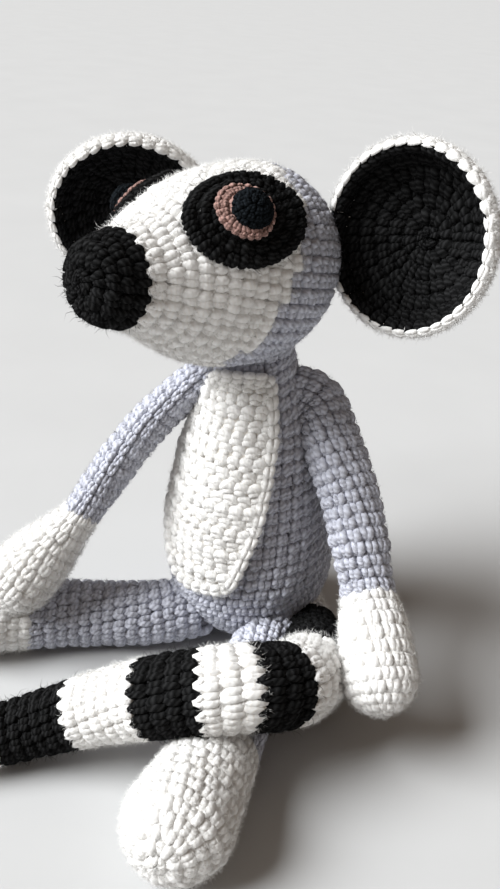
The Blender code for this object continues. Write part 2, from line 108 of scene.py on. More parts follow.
LEGS = {
    "left": [(22.5, -3, 12.5, 11.8), (27, -17, 13.0, 13.0), (36.5, -40, 13.0, 13.4), (46, -60, 13.1, 13.5),
             (53.8, -79, 14.9, 15.6), (61.5, -98, 17.1, 17.8)],
    "right": [(-3.8, -9.8, 12.0, 11.5), (-8.7, -23.4, 12.5, 12.5), (-20, -39.5, 12.5, 12.9),
              (-35.5, -55.8, 12.8, 13.2), (-50, -72, 14.0, 14.7), (-63, -87.5, 17.1, 17.8)],
}
LEG_GREY = {"left": 69.0, "right": 76.0}
TAIL = [(8, 15, 10.4, 9.8), (15.8, 14.2, 10.5, 10.1), (22, 9.5, 11.0, 10.5), (28.5, 4, 12.0, 11.0),
        (34.8, -1, 13.8, 11.5), (43.5, -9.5, 17, 12.6), (51, -20, 22, 13.6), (57, -32.5, 28, 14.2),
        (58.5, -46, 34.3, 14.6), (51.5, -62, 39.2, 14.3), (36, -76, 35.3, 13.9), (17, -88, 25, 12.4),
        (-0.5, -103, 14.8, 11.0), (-12, -118, 10.4, 10.3), (-21, -133, 9.3, 9.6), (-27.5, -149, 8.5, 8.8)]
RINGS = [30, 37, 20.5, 15, 14.2, 19.2, 27, 27.5, 25.2]
SEAM_GAP = 0.3           # between two colours of one tube
FLOOR_GAP = 0.2 * MM     # from the floor to the fabric behind the stitches
# How deep a stitch may lie in another piece before it is left out.
HIDDEN = {"ear": 2.5 * MM, "rim": 2.0 * MM, "trunk": 3.5 * MM, "panel": 2.5 * MM, "limb": 3.0 * MM}
SEEDS = {"head": 100, "eyes": 200, "ears": 300, "trunk": 400, "panel": 500, "limbs": 600, "tail": 700}

# ---- The stitch

# Strands of a stitch of this size: across, along, outward and radius, in millimetres.
STITCH_WIDE, STITCH_HIGH = 5.2, 4.5
# The two legs of the plump V that the front of a stitch shows, from under the row before to its own top.
LEFT_LEG = [(-0.15, -2.60, -3.00, 0.98), (-0.54, -1.95, -1.95, 1.46), (-0.94, -0.90, -1.52, 1.76),
            (-1.12, 0.30, -1.48, 1.80), (-1.16, 1.15, -1.85, 1.58), (-1.05, 1.75, -2.90, 1.12)]
RIGHT_LEG = [(0.40, -2.35, -2.95, 0.95), (0.70, -1.65, -2.00, 1.40), (1.06, -0.60, -1.60, 1.70),
             (1.20, 0.45, -1.60, 1.72), (1.22, 1.20, -2.00, 1.50), (1.08, 1.80, -3.00, 1.08)]
# The thread that lies across behind the foot of the V.
BAR = [(-2.80, -2.15, -2.30, 0.95), (-1.20, -2.15, -2.40, 0.95), (1.20, -2.15, -2.40, 0.95),
       (2.80, -2.15, -2.30, 0.95)]
# The loop that reaches into the row before where the colour changes.
TOOTH = [(-1.35, -0.90, -1.60, 1.22), (-0.98, -2.25, -0.98, 1.12), (-0.20, -3.65, -0.80, 0.88),
         (0.28, -3.65, -0.80, 0.88), (0.98, -2.25, -0.98, 1.12), (1.35, -0.90, -1.60, 1.22)]
# The two bumps that the back of a stitch shows.
BUMP = [(-2.75, -0.85, -2.50, 0.85), (-1.70, -0.10, -1.50, 1.12), (-0.40, 0.50, -1.12, 1.28),
        (0.90, 0.35, -1.20, 1.28), (2.00, -0.45, -1.65, 1.10), (2.80, -1.10, -2.60, 0.85)]
FOOT = [(-1.90, -2.30, -2.40, 0.90), (-0.70, -1.75, -1.65, 1.10), (0.70, -1.75, -1.65, 1.10),
        (1.90, -2.30, -2.40, 0.90)]
# The strands of each kind of stitch, 1 as given or -1 mirrored, and how uneven they are.
STITCHES = {
    "front": (((LEFT_LEG, 1), (RIGHT_LEG, 1), (BAR, 1)), 0.05),
    "back": (((BUMP, 1), (FOOT, 1)), 0.06),
    "tooth": (((TOOTH, 1),), 0.05),
    "chain": (((LEFT_LEG, 1), (LEFT_LEG, -1)), 0.05),
}
CROWN, CROWN_RADIUS = -1.5, 1.7  # a strand at the top of a stitch: where its middle lies, and its radius
GROOVE_FILL = 4          # how strongly a plump yarn evens out the depth of a stitch
ROW_SHARE = 1.06         # strands are this much thicker than the height of their row asks for
SLANT = 0.08             # stitches of a right-handed maker lean a little
STRAND_SIDES = 6
# The fabric behind the stitches is coloured in the yarn's painted shade.
SKIN_DEPTH = 2.6         # crowns of the stitches to the dark of the fabric behind them
DRIFT = 0.15 * MM        # how far handwork puts a stitch to either side
SPIN, SWELL, LIFT = 0.07, 0.035, 0.10    # how far stitches turn, differ in size, and stand out in millimetres
LEAN = 0.17              # each round starts this share of a stitch later
PANEL_LEAN = (0.7, 0.3)  # where the first stitch of even and of odd rows of the panel lies
EDGING_INSET = 1.6 * MM  # from the panel's outline to the middle of its edging
RIDGE = 0.30 * MM        # every second row of the panel stands out from the others by twice this
PANEL_SUNK = 0.25 * MM   # the panel's rows show their backs and lie this much deeper
PANEL_LOOSENESS = 1.3    # how much more uneven they are than the rounds of the other pieces
EDGING_LIFT = 0.35 * MM
EYE_STITCH, RIM_STITCH, EDGING_STITCH = 0.92, 0.92, 0.85     # stitches there as shares of the main one
PATCH_SIZE = 0.003       # a strand's own place on the baking map
MAP_FILL, MAP_EDGE = 0.98, 0.005     # what the stitches' places fill of the baking map, and its margin
BACKING_SIDES = 36       # of the fabric behind the stitches, and how far apart its rows are
BACKING_ROW = 3.0 * MM

# ---- The yarns

# How full each yarn is. A fuller one has shallower grooves.
PLUMP = {"white": 1.17, "grey": 0.97}
PANEL_PLUMP = 1.32
THIN_PLUMP = 1.05        # the thin yarn of the eyes
# Each yarn's fibres: share and length of the short ones, strays to a stitch and their length, in millimetres.
FUZZ = {"grey": (1.0, 1.8, 0.5, 3.0), "white": (2.6, 2.6, 0.9, 4.2), "black": (1.0, 2.4, 1.3, 6.0)}
FIBRE = 0.07 * MM        # radius of a loose fibre
FIBRE_SPREAD = 2.6       # how far from the middle of its stitch it may start, in millimetres
FIBRE_ROOT = 0.3         # how deep it starts, in millimetres
# Corners and face sizes of a straight fibre of four points, and of a bent one of seven.
SHORT_FIBRE = (np.array([2, 1, 0, 0, 1, 3, 1, 2, 3, 2, 0, 3]), np.full(4, 3))
BENT_FIBRE = (np.array([2, 1, 0, 0, 1, 4, 3, 1, 2, 5, 4, 2, 0, 3, 5, 3, 4, 6, 4, 5, 6, 5, 3, 6]),
              np.array([3, 4, 4, 4, 3, 3, 3]))
# Colours for the grooves and for the highlight of each yarn as shares of its colour, and its finish. The
# darker one is painted shade in the grooves between the plies, the lighter one a painted highlight on the
# plies; the dye's tone mixes into both.
RECIPES = {
    "grey": ((0.62, 0.60, 0.60), 1.22, dict(sheen=0.1)),
    "white": ((0.96, 0.925, 0.875), 1.04, dict(sheen=0.15, relief=0.2)),
    "black": ((0.4, 0.4, 0.4), 2.6, dict(sheen=0.0, specular=0.03)),
    "pink": ((0.6, 0.6, 0.6), 1.4, dict(sheen=0.1, plies=2)),
    "navy": ((0.5, 0.5, 0.5), 2.4, dict(sheen=0.0, plies=2, specular=0.05)),
}
# Painted shade of the fabric behind the stitches, as shares of the yarn's colour: darker for most yarns,
# warmer for the white.
PAINTED_SHADE_BEHIND = {"grey": (0.45, 0.43, 0.43), "white": (1.0, 0.96, 0.90), "black": (0.5, 0.5, 0.5),
          "pink": (0.4, 0.4, 0.4), "navy": (0.6, 0.6, 0.6)}
TWIST = 1.6              # turns of the plies along one strand
# What the plies, the fine fibres, and the dye or the flecks add to a yarn's colour and to its relief. In the
# colour the plies add painted shade in their grooves and a painted highlight on their tops.
TONE_WEIGHTS, RELIEF_WEIGHTS = (0.38, 0.42, 0.42), (0.55, 0.45, 0.45)
# The lowest tones take the painted shade in the ply grooves and the highest the painted highlight on the
# plies, each with the dye's tone.
SHADE_AND_DYE_AT, COLOUR_AT, HIGHLIGHT_AND_DYE_AT = 0.25, 0.52, 0.85   # tones that take each colour

# ---- The stage

FLOOR_TONES = ((0.48, 0.48, 0.48), (0.52, 0.52, 0.52))
WORLD_COLOUR, WORLD_STRENGTH = (0.97, 0.80, 0.66), 0.19
WINDOW_COLOUR, WINDOW_STRENGTH, WINDOW_WIDTH = (0.96, 0.985, 1.0), 6.55, 38.0
WINDOW_PLACE = (38.0, 41.0)      # turned from the toy's front towards its right, and up, in degrees
CAMERA_PLACE = (0.1797, -0.2173, 0.246)
CAMERA_TURN = (40.0, 30.0, 3.7)  # heading, downward pitch and roll, in degrees
LENS, SENSOR, NEAREST = 35, 36, 0.01     # focal length and sensor in millimetres, nearest depth in metres

# ---- Lines, turns and round forms

def smooth_line(points, per_span):
    """Points of the smooth curve through the given ones."""
    points = np.asarray(points, float)
    ends = np.vstack([2 * points[0] - points[1], points, 2 * points[-1] - points[-2]])
    out = []
    for i in range(len(points) - 1):
        a, b, c, d = ends[i:i + 4]
        t = np.arange(per_span)[:, None] / per_span
        out.append(0.5 * (2 * b + (c - a) * t + (2 * a - 5 * b + 4 * c - d) * t ** 2
                          + (3 * b - a - 3 * c + d) * t ** 3))
    return np.vstack(out + [points[-1:]])


def unit(v):
    return v / np.maximum(np.linalg.norm(v, axis=-1, keepdims=True), 1e-12)


def run_along(points):
    """Distance along a line of points at each of them."""
    return np.concatenate([[0], np.cumsum(np.linalg.norm(np.diff(points, axis=0), axis=1))])


def facing(turn, tilt):
    """The way to the front, turned towards the toy's right and tilted up, in degrees."""
    t, e = math.radians(turn), math.radians(tilt)
    return np.array((-math.sin(t) * math.cos(e), -math.cos(t) * math.cos(e), math.sin(e)))


def turns_round(count):
    """Evenly spaced turns round a form."""
    return np.arange(count) / count * FULL


def axes_along(direction, roll=0.0):
    """Unit vectors: to the toy's left of the direction, up, and the direction itself."""
    z = unit(np.asarray(direction, float))
    x = -unit(np.cross(z, (0, 0, 1.0)))
    y = np.cross(z, x)
    c, s = math.cos(math.radians(roll)), math.sin(math.radians(roll))
    return x * c + y * s, y * c - x * s, z


class Form:
    """A round form read by the turn about its middle line and the distance along its surface."""

    STEP = 0.4 * MM

    def __init__(self, middles, radii, inward=False, first=(1.0, 0, 0), straight=False):
        middles, radii = np.asarray(middles, float), np.asarray(radii, float)
        ahead = np.gradient(middles, axis=0)
        good = np.linalg.norm(ahead, axis=1) > 1e-9
        index = np.arange(len(middles))
        nearest = np.array([index[good][np.argmin(abs(index[good] - i))] for i in index])
        along = unit(ahead[nearest])
        side, sides = np.array(first, float), []
        for t in along:
            side = unit(side - t * side.dot(t))
            sides.append(side)
        steps = np.hypot(np.linalg.norm(np.diff(middles, axis=0), axis=1), np.diff(radii))
        place = np.concatenate([[0], np.cumsum(steps)])
        keep = np.concatenate([[True], np.diff(place) > 1e-9])
        parts = (middles, radii, along, sides, place)
        middles, radii, along, sides, place = (np.asarray(part)[keep] for part in parts)
        self.length = place[-1]
        grid = np.arange(0, self.length + self.STEP, self.STEP)
        rows = np.hstack([middles, sides, along, radii[:, None]])
        table = np.stack([np.interp(grid, place, rows[:, k]) for k in range(rows.shape[1])], 1)
        slope = np.gradient(table[:, 9], self.STEP)
        slope = np.convolve(np.pad(slope, 2, mode="edge"), np.ones(5) / 5, "valid").clip(-1, 1)
        self.table = np.column_stack([table, slope, np.sqrt(1 - slope ** 2)])
        self.inward = -1.0 if inward else 1.0
        self.straight = straight
        self.press = None       # (direction, start, fade, flatness) of a thinly stuffed limb
        self.rise = None        # (direction, start, slope) of a bent middle line
        self.by_line = (run_along(middles), place)

    def place_of(self, distance):
        """Surface place of a distance along the middle line."""
        return float(np.interp(distance, *self.by_line))

    def lifted(self, points):
        """How far the bent middle line carries points."""
        up, start, slope = self.rise
        distance = (points - self.table[0, :3]) @ self.table[0, 6:9]
        return np.maximum(0, distance - start)[..., None] * slope * up

    def surface(self, turn, place):
        turn, place = np.broadcast_arrays(turn, place)
        q = np.clip(place / self.STEP, 0, len(self.table) - 1.001)
        i = q.astype(int)
        f = (q - i)[..., None]
        row = self.table[i] * (1 - f) + self.table[i + 1] * f
        middle, side, along = row[..., 0:3], unit(row[..., 3:6]), unit(row[..., 6:9])
        other = np.cross(along, side)
        out = np.cos(turn)[..., None] * side + np.sin(turn)[..., None] * other
        point = middle + out * row[..., 9:10]
        normal = out * row[..., 11:12] - along * row[..., 10:11]
        if self.press is not None:
            axis, start, fade, flatness = self.press
            share = flatness + (1 - flatness) * np.clip((place - start) / fade, 0, 1)
            off = ((point - middle) @ axis) * (1 - share)
            point = point - axis * off[..., None]
            normal = normal + axis * ((normal @ axis) * (1 / share - 1))[..., None]
        if self.rise is not None:
            point = point + self.lifted(point)
        return point, unit(normal) * self.inward

    def radius(self, place):
        return np.interp(place, np.arange(len(self.table)) * self.STEP, self.table[:, 9])

    def depth(self, points):
        """How far points lie outside the form; less than nothing inside."""
        rows = self.table[::6]
        if self.rise is not None:
            points = points - self.lifted(points)
        if self.straight:
            start, axis = rows[0, :3], unit(rows[-1, :3] - rows[0, :3])
            d = (points - start) @ axis
            across = np.linalg.norm(points - start - d[..., None] * axis, axis=-1)
            reach = np.interp(d, (rows[:, :3] - start) @ axis, rows[:, 9], left=-1, right=-1)
            return across - reach
        gap = np.linalg.norm(points[..., None, :] - rows[:, :3], axis=-1) - rows[:, 9]
        return gap.min(-1)


def tube_form(keys, round_start=False, round_end=False, cap_start=False):
    """The form of a stuffed tube through the given middle points and radii."""
    line = smooth_line(np.asarray(keys, float) * MM, 12)
    middles, radii = line[:, :3], line[:, 3]
    turns = np.radians(np.linspace(0, 90, 10)[1:])
    if round_end:
        onward = unit(middles[-1] - middles[-2])
        middles = np.vstack([middles, middles[-1] + onward * radii[-1] * np.sin(turns)[:, None]])
        radii = np.concatenate([radii, radii[-1] * np.cos(turns)])
    if round_start:
        back = unit(middles[0] - middles[1])
        middles = np.vstack([(middles[0] + back * radii[0] * np.sin(turns)[:, None])[::-1], middles])
        radii = np.concatenate([(radii[0] * np.cos(turns))[::-1], radii])
    if cap_start:
        middles = np.vstack([middles[:1], middles])
        radii = np.concatenate([[0], radii])
    return Form(middles, radii)


def turned_form(profile, origin, axes, inward=False):
    """The form turned about a straight line from (distance, radius) pairs; axes are left, up and the line."""
    profile = np.asarray(profile, float) * MM
    left, _, line = axes
    origin = np.asarray(origin, float) * MM
    return Form(origin + profile[:, :1] * line, profile[:, 1], inward=inward, first=left, straight=True)


# ---- Strands of yarn

def tube_faces(rows, sides):
    """Corners of the four-sided faces of a tube, each as its ring and its place round the ring."""
    return [corner for k in range(rows - 1) for j in range(sides)
            for corner in ((k, j), (k, j + 1), (k + 1, j + 1), (k + 1, j))]


class Strands:
    """Yarn strands of one stitch: closed tubes with their own map coordinates."""

    def __init__(self, lines):
        points, corners, sizes, uv = [], [], [], []
        base, sides = 0, STRAND_SIDES
        for number, line in enumerate(lines):
            line = np.asarray(line, float)
            middle, thick = line[:, :3] * MM, line[:, 3] * MM
            ahead = unit(np.gradient(middle, axis=0))
            up = unit(np.array((0, 0, 1.0)) - ahead * ahead[:, 2:3])
            side = np.cross(ahead, up)
            a = turns_round(sides)[None, :, None]
            ring = np.cos(a) * side[:, None] + np.sin(a) * up[:, None]
            points.append((middle[:, None] + ring * thick[:, None, None]).reshape(-1, 3))
            count = len(line)
            run = run_along(middle)
            run /= run[-1]
            for row, column in tube_faces(count, sides):
                corners.append(base + row * sides + column % sides)
                uv.append((column / sides, run[row], number))
            sizes += [4] * ((count - 1) * sides)
            for row, order in ((0, range(sides - 1, -1, -1)), (count - 1, range(sides))):
                corners += [base + row * sides + j for j in order]
                uv += [(j / sides, run[row], number) for j in order]
                sizes.append(sides)
            base += count * sides
        self.points, self.corners = np.vstack(points), np.array(corners)
        self.sizes, self.uv = np.array(sizes), np.array(uv)


def uneven(line, rng, width, height, plump, looseness, mirror):
    """One strand fitted to a stitch's size, a little uneven. A plump yarn also fills its own grooves."""
    size = min(width / STITCH_WIDE, height / STITCH_HIGH * ROW_SHARE)
    line = np.array(line, float)
    line[:, 2] = CROWN + (line[:, 2] - CROWN) / plump ** GROOVE_FILL - (plump - 1) * CROWN_RADIUS
    line *= (width / STITCH_WIDE * mirror, height / STITCH_HIGH, size, size * plump)
    line[:, 0] += SLANT * line[:, 1] + np.linspace(-1, 1, len(line)) * rng.normal(0, looseness) * width
    line[1:-1, 2] += rng.normal(0, looseness * 1.6) * size
    line[:, 3] *= 1 + rng.normal(0, looseness)
    return line


class Fabric:
    """Collects strands laid on surfaces, and makes one piece of them."""

    def __init__(self):
        self.points, self.corners, self.sizes, self.bake, self.yarn = [], [], [], [], []
        self.total = 0

    def add(self, points, corners, sizes, uv, where, tone):
        """Adds many copies of one small mesh: points of every copy, faces and map of one."""
        count, each = points.shape[:2]
        self.points.append(points.reshape(-1, 3))
        self.corners.append((corners[None] + self.total + (np.arange(count) * each)[:, None]).ravel())
        self.sizes.append(np.tile(sizes, count))
        offset = np.stack([uv[:, 2] * PATCH_SIZE * 1.4, 0 * uv[:, 2]], 1)    # one strand beside the next
        self.bake.append((where[:, None] + (offset + uv[:, :2] * PATCH_SIZE)[None]).reshape(-1, 2))
        shift = np.stack([0 * tone, tone], 1)[:, None]
        self.yarn.append((uv[None, :, :2] + shift).reshape(-1, 2))
        self.total += count * each

    def lay(self, surface, cells, strands, floor=None):
        """Lays one copy of the strands on each cell of a surface."""
        if not len(cells["u"]):
            return
        x, y, z = strands.points.T
        spin, size = cells["spin"][:, None], cells["size"][:, None]
        across = (x * np.cos(spin) - y * np.sin(spin)) * size
        along = (x * np.sin(spin) + y * np.cos(spin)) * size
        point, normal = surface(cells["u"][:, None] + across * cells["du"][:, None],
                                cells["v"][:, None] + along * cells["dv"][:, None])
        point = on_floor(point + normal * (z * size + cells["lift"][:, None])[..., None], floor)
        corners, uv = strands.corners, strands.uv
        if self.flipped(surface, cells):
            ends = np.cumsum(strands.sizes)
            order = np.concatenate([np.arange(e - n, e)[::-1] for e, n in zip(ends, strands.sizes)])
            corners, uv = corners[order], uv[order]
        self.add(point, corners, strands.sizes, uv, cells["where"], cells["tone"])

    def fuzz(self, surface, cells, rng, each, longest, floor=None, bent=False):
        """Loose fibres that stand out of the stitches: thin three-sided spikes, the long ones with a bend."""
        count = round(len(cells["u"]) * each)
        if not count:
            return
        chosen = rng.permutation(np.resize(np.arange(len(cells["u"])), count))
        many = {key: value[chosen] for key, value in cells.items()}
        across, along = rng.uniform(-FIBRE_SPREAD, FIBRE_SPREAD, (2, count)) * MM
        root, normal = surface(many["u"] + across * many["du"], many["v"] + along * many["dv"])
        lean = unit(rng.normal(0, 1, (count, 3)))
        lean = unit(lean - normal * (lean * normal).sum(1)[:, None])
        length = (rng.uniform(0.4, 1.0, count) ** 1.3 * longest * MM)[:, None]
        heading = unit(normal * rng.uniform(0.3, 1.6, count)[:, None] + lean)
        root = root - normal * FIBRE_ROOT * MM
        middle = root + heading * length * 0.5
        turned = unit(rng.normal(0, 1, (count, 3))) * (1.1 if bent else 0.4)
        tip = middle + unit(heading + turned) * length * 0.5
        side = unit(np.cross(heading, normal + 1e-3))
        other = np.cross(heading, side)
        points = []
        for place, thick in ((root, FIBRE), (middle, FIBRE * 0.8))[:2 if bent else 1]:
            for a in (0, FULL / 3, FULL * 2 / 3):
                points.append(place + (side * math.cos(a) + other * math.sin(a)) * thick)
        points = on_floor(np.stack(points + [tip], 1), floor)
        corners, sizes = BENT_FIBRE if bent else SHORT_FIBRE
        uv = np.array([(0.4 + 0.1 * (c % 3), (c // 3) / 2, 0) for c in corners])
        self.add(points, corners, sizes, uv, many["where"], many["tone"])

    @staticmethod
    def flipped(surface, cells):
        """Whether the surface's two directions turn the stitches inside out."""
        u, v = cells["u"][:1], cells["v"][:1]
        step = 0.2 * MM
        origin, normal = surface(u, v)
        across = surface(u + step * cells["du"][:1], v)[0] - origin
        along = surface(u, v + step * cells["dv"][:1])[0] - origin
        return np.dot(np.cross(across[0], along[0]), normal[0]) < 0

    def make(self, name, kind):
        maps = {"OFBake": np.vstack(self.bake), "yarn": np.vstack(self.yarn)}
        return mesh_piece(name, np.vstack(self.points), np.concatenate(self.corners),
                          np.concatenate(self.sizes), maps, yarn(kind))


def on_floor(points, floor):
    """Presses what would be under the floor flat on it."""
    if floor is None:
        return points
    points[..., 2] = np.where(points[..., 2] < floor, floor + 0.02 * (points[..., 2] - floor), points[..., 2])
    return points


def add_object(name, data):
    made = bpy.data.objects.new(name, data)
    bpy.context.scene.collection.objects.link(made)
    return made


def mesh_piece(name, points, corners, sizes, maps, material):
    """A smooth mesh object that rides on the toy."""
    mesh = bpy.data.meshes.new(name)
    mesh.vertices.add(len(points))
    mesh.vertices.foreach_set("co", points.astype(np.float32).ravel())
    mesh.loops.add(len(corners))
    mesh.loops.foreach_set("vertex_index", corners.astype(np.int32))
    mesh.polygons.add(len(sizes))
    starts = np.concatenate([[0], np.cumsum(sizes)[:-1]])
    mesh.polygons.foreach_set("loop_start", starts.astype(np.int32))
    mesh.polygons.foreach_set("use_smooth", np.ones(len(sizes), bool))
    for map_name, uv in maps.items():
        layer = mesh.uv_layers.new(name=map_name)
        layer.data.foreach_set("uv", uv.astype(np.float32).ravel())
    mesh.update(calc_edges=True)
    mesh.materials.append(material)
    piece = add_object(name, mesh)
    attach(piece, "root")
    return piece


def cells_of(u, v, du, dv, where, rng, looseness=1.0, lift=0.0):
    """Places for stitches: turn and distance, what one metre is in each, and the unevenness of handwork."""
    count = len(u)
    return {
        "u": np.asarray(u, float), "v": np.asarray(v, float),
        "du": np.broadcast_to(np.asarray(du, float), (count,)).copy(),
        "dv": np.broadcast_to(np.asarray(dv, float), (count,)).copy(),
        "spin": rng.normal(0, SPIN * looseness, count),
        "size": 1 + rng.normal(0, SWELL * looseness, count),
        "lift": lift + rng.normal(0, LIFT * looseness, count) * MM,
        "where": np.asarray(where, float), "tone": rng.uniform(0, 50, count),
    }


def pick(cells, mask):
    return {key: value[mask] for key, value in cells.items()}


def on_map(share):
    return share * MAP_FILL + MAP_EDGE


def rounds(form, start, end, sign, rng, stitch_size, drop=None):
    """Cells of the stitches worked round and round a form, from one place to another along it."""
    width, height = stitch_size
    count = max(1, round((end - start) / height))
    step = (end - start) / count
    u, v, du, where, shrink, number = [], [], [], [], [], []
    for i in range(count):
        row = i if sign > 0 else count - 1 - i
        place = start + (row + 0.5) * step
        around = FULL * max(float(form.radius(place)), 0.8 * MM)
        n = max(5, round(around / width))
        small = min(1.0, max(0.65, 1.1 * around / n / width))
        turn = (np.arange(n) + 0.5 + LEAN * i) / n * FULL + rng.normal(0, DRIFT, n) / around * FULL
        u.append(turn)
        v.append(np.full(n, place) + rng.normal(0, 0.04, n) * step)
        du.append(np.full(n, FULL / n / width / small))
        shrink.append(np.full(n, small))
        number.append(np.full(n, i))
        where.append(np.stack([on_map((turn / FULL) % 1), np.full(n, on_map(place / form.length))], 1))
    cells = cells_of(np.concatenate(u), np.concatenate(v), np.concatenate(du), sign * step / height,
                     np.vstack(where), rng)
    cells["size"] *= np.concatenate(shrink)
    cells["row"] = np.concatenate(number)
    if drop is not None:
        cells = pick(cells, ~drop(form.surface(cells["u"], cells["v"])[0]))
    return cells


def crochet(fabric, surface, cells, rng, stitch_size, floor=None, plump=1.0, stitch="front", kinds=5):
    """Stitches on the cells, in a few slightly different shapes."""
    kind = rng.integers(0, kinds, len(cells["u"]))
    lines, looseness = STITCHES[stitch]
    width, height = (size / MM for size in stitch_size)
    for k in range(kinds):
        shape = [uneven(line, rng, width, height, plump, looseness, mirror) for line, mirror in lines]
        fabric.lay(surface, pick(cells, kind == k), Strands(shape), floor)


def fuzz_of(fabric, kind, surface, cells, rng, floor=None):
    """The fibres on a piece of crochet: many short ones, and a few long ones that stand out."""
    share, length, stray_share, stray_length = FUZZ[kind]
    fabric.fuzz(surface, cells, rng, bpy.context.scene.lemur_gauge.fibres * share, length, floor)
    fabric.fuzz(surface, cells, rng, stray_share, stray_length, floor, bent=True)


def worked(name, kind, surface, cells, rng, floor=None, toothed=False):
    """A piece of crochet in the toy's main yarn, and the loose fibres on it."""
    size = main_stitch()
    fabric, loose = Fabric(), Fabric()
    crochet(fabric, surface, cells, rng, size, floor, PLUMP.get(kind, 1.0))
    if toothed:
        crochet(fabric, surface, pick(cells, cells["row"] == 0), rng, size, floor, stitch="tooth")
    fabric.make(f"{name}_stitches", kind)
    fuzz_of(loose, kind, surface, cells, rng, floor)
    loose.make(f"{name}_fibres", kind)


def inside_any(forms, depth):
    def test(points):
        return np.any([form.depth(points) < -depth for form in forms], axis=0)
    return test


# ---- The fabric behind the stitches, in painted shade

def loft(loops):
    """Faces that join closed loops of points one to the next, and their map, with a fan at each end."""
    rows, sides = loops.shape[:2]
    faces = tube_faces(rows, sides)
    corners = [row * sides + column % sides for row, column in faces]
    uv = [(column / sides, row / (rows - 1)) for row, column in faces]
    sizes = [4] * ((rows - 1) * sides)
    total = rows * sides
    for j in range(sides):
        n = (j + 1) % sides
        corners += [n, j, total, (rows - 1) * sides + j, (rows - 1) * sides + n, total + 1]
        uv += [((j + 1) / sides, 0), (j / sides, 0), ((j + 0.5) / sides, 0),
               (j / sides, 1), ((j + 1) / sides, 1), ((j + 0.5) / sides, 1)]
        sizes += [3, 3]
    points = np.vstack([loops.reshape(-1, 3), loops[0].mean(0)[None], loops[-1].mean(0)[None]])
    return points, np.array(corners), np.array(sizes), np.array(uv, float)


def closed_piece(name, loops, kind, density):
    """A closed mesh through loops of points, in the yarn's painted shade, as it looks behind the stitches."""
    points, corners, sizes, uv = loft(loops)
    maps = {"OFBake": uv * 0.98 + 0.01, "yarn": uv * density}
    return mesh_piece(name, points, corners, sizes, maps, shade(kind))


def backing(name, form, start, end, kind, nodes, depth=SKIN_DEPTH * MM, floor=None):
    """The closed stuffed shape behind the stitches, in the yarn's painted shade. Its ends may differ from
    turn to turn.
    """
    turn = turns_round(BACKING_SIDES)
    start, end = np.broadcast_to(start, turn.shape), np.broadcast_to(end, turn.shape)
    rows = max(6, int((end - start).max() / BACKING_ROW))
    share = np.linspace(0, 1, rows + 1)[:, None]
    places = start[None] * (1 - share) + end[None] * share
    point, normal = form.surface(turn[None], places)
    point = point - normal * depth
    close = (form.radius(places) < depth * 1.3)[..., None]
    point = np.where(close, point.mean(1)[:, None], point)
    if floor is not None:
        point[..., 2] = np.maximum(point[..., 2], floor)
    piece = closed_piece(name, point, kind, 40)
    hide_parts(*nodes)


# ---- Yarn materials

def node(tree, kind, **values):
    made = tree.nodes.new(kind)
    for key, value in values.items():
        if hasattr(made, key):
            setattr(made, key, value)
        else:
            made.inputs[key].default_value = value
    return made


def math_node(tree, operation, a, b=None):
    made = tree.nodes.new("ShaderNodeMath")
    made.operation = operation
    for socket, value in zip(made.inputs, (a, b)):
        if value is None:
            continue
        if isinstance(value, (int, float)):
            socket.default_value = value
        else:
            tree.links.new(value, socket)
    return made.outputs[0]


def weighted(tree, *pairs):
    """The sum of some outputs, each with its own weight."""
    total = None
    for output, weight in pairs:
        part = math_node(tree, "MULTIPLY", output, weight)
        total = part if total is None else math_node(tree, "ADD", total, part)
    return total


def new_material(name):
    made = bpy.data.materials.new(name)
    made.use_nodes = True
    return made, made.node_tree, made.node_tree.nodes["Principled BSDF"]


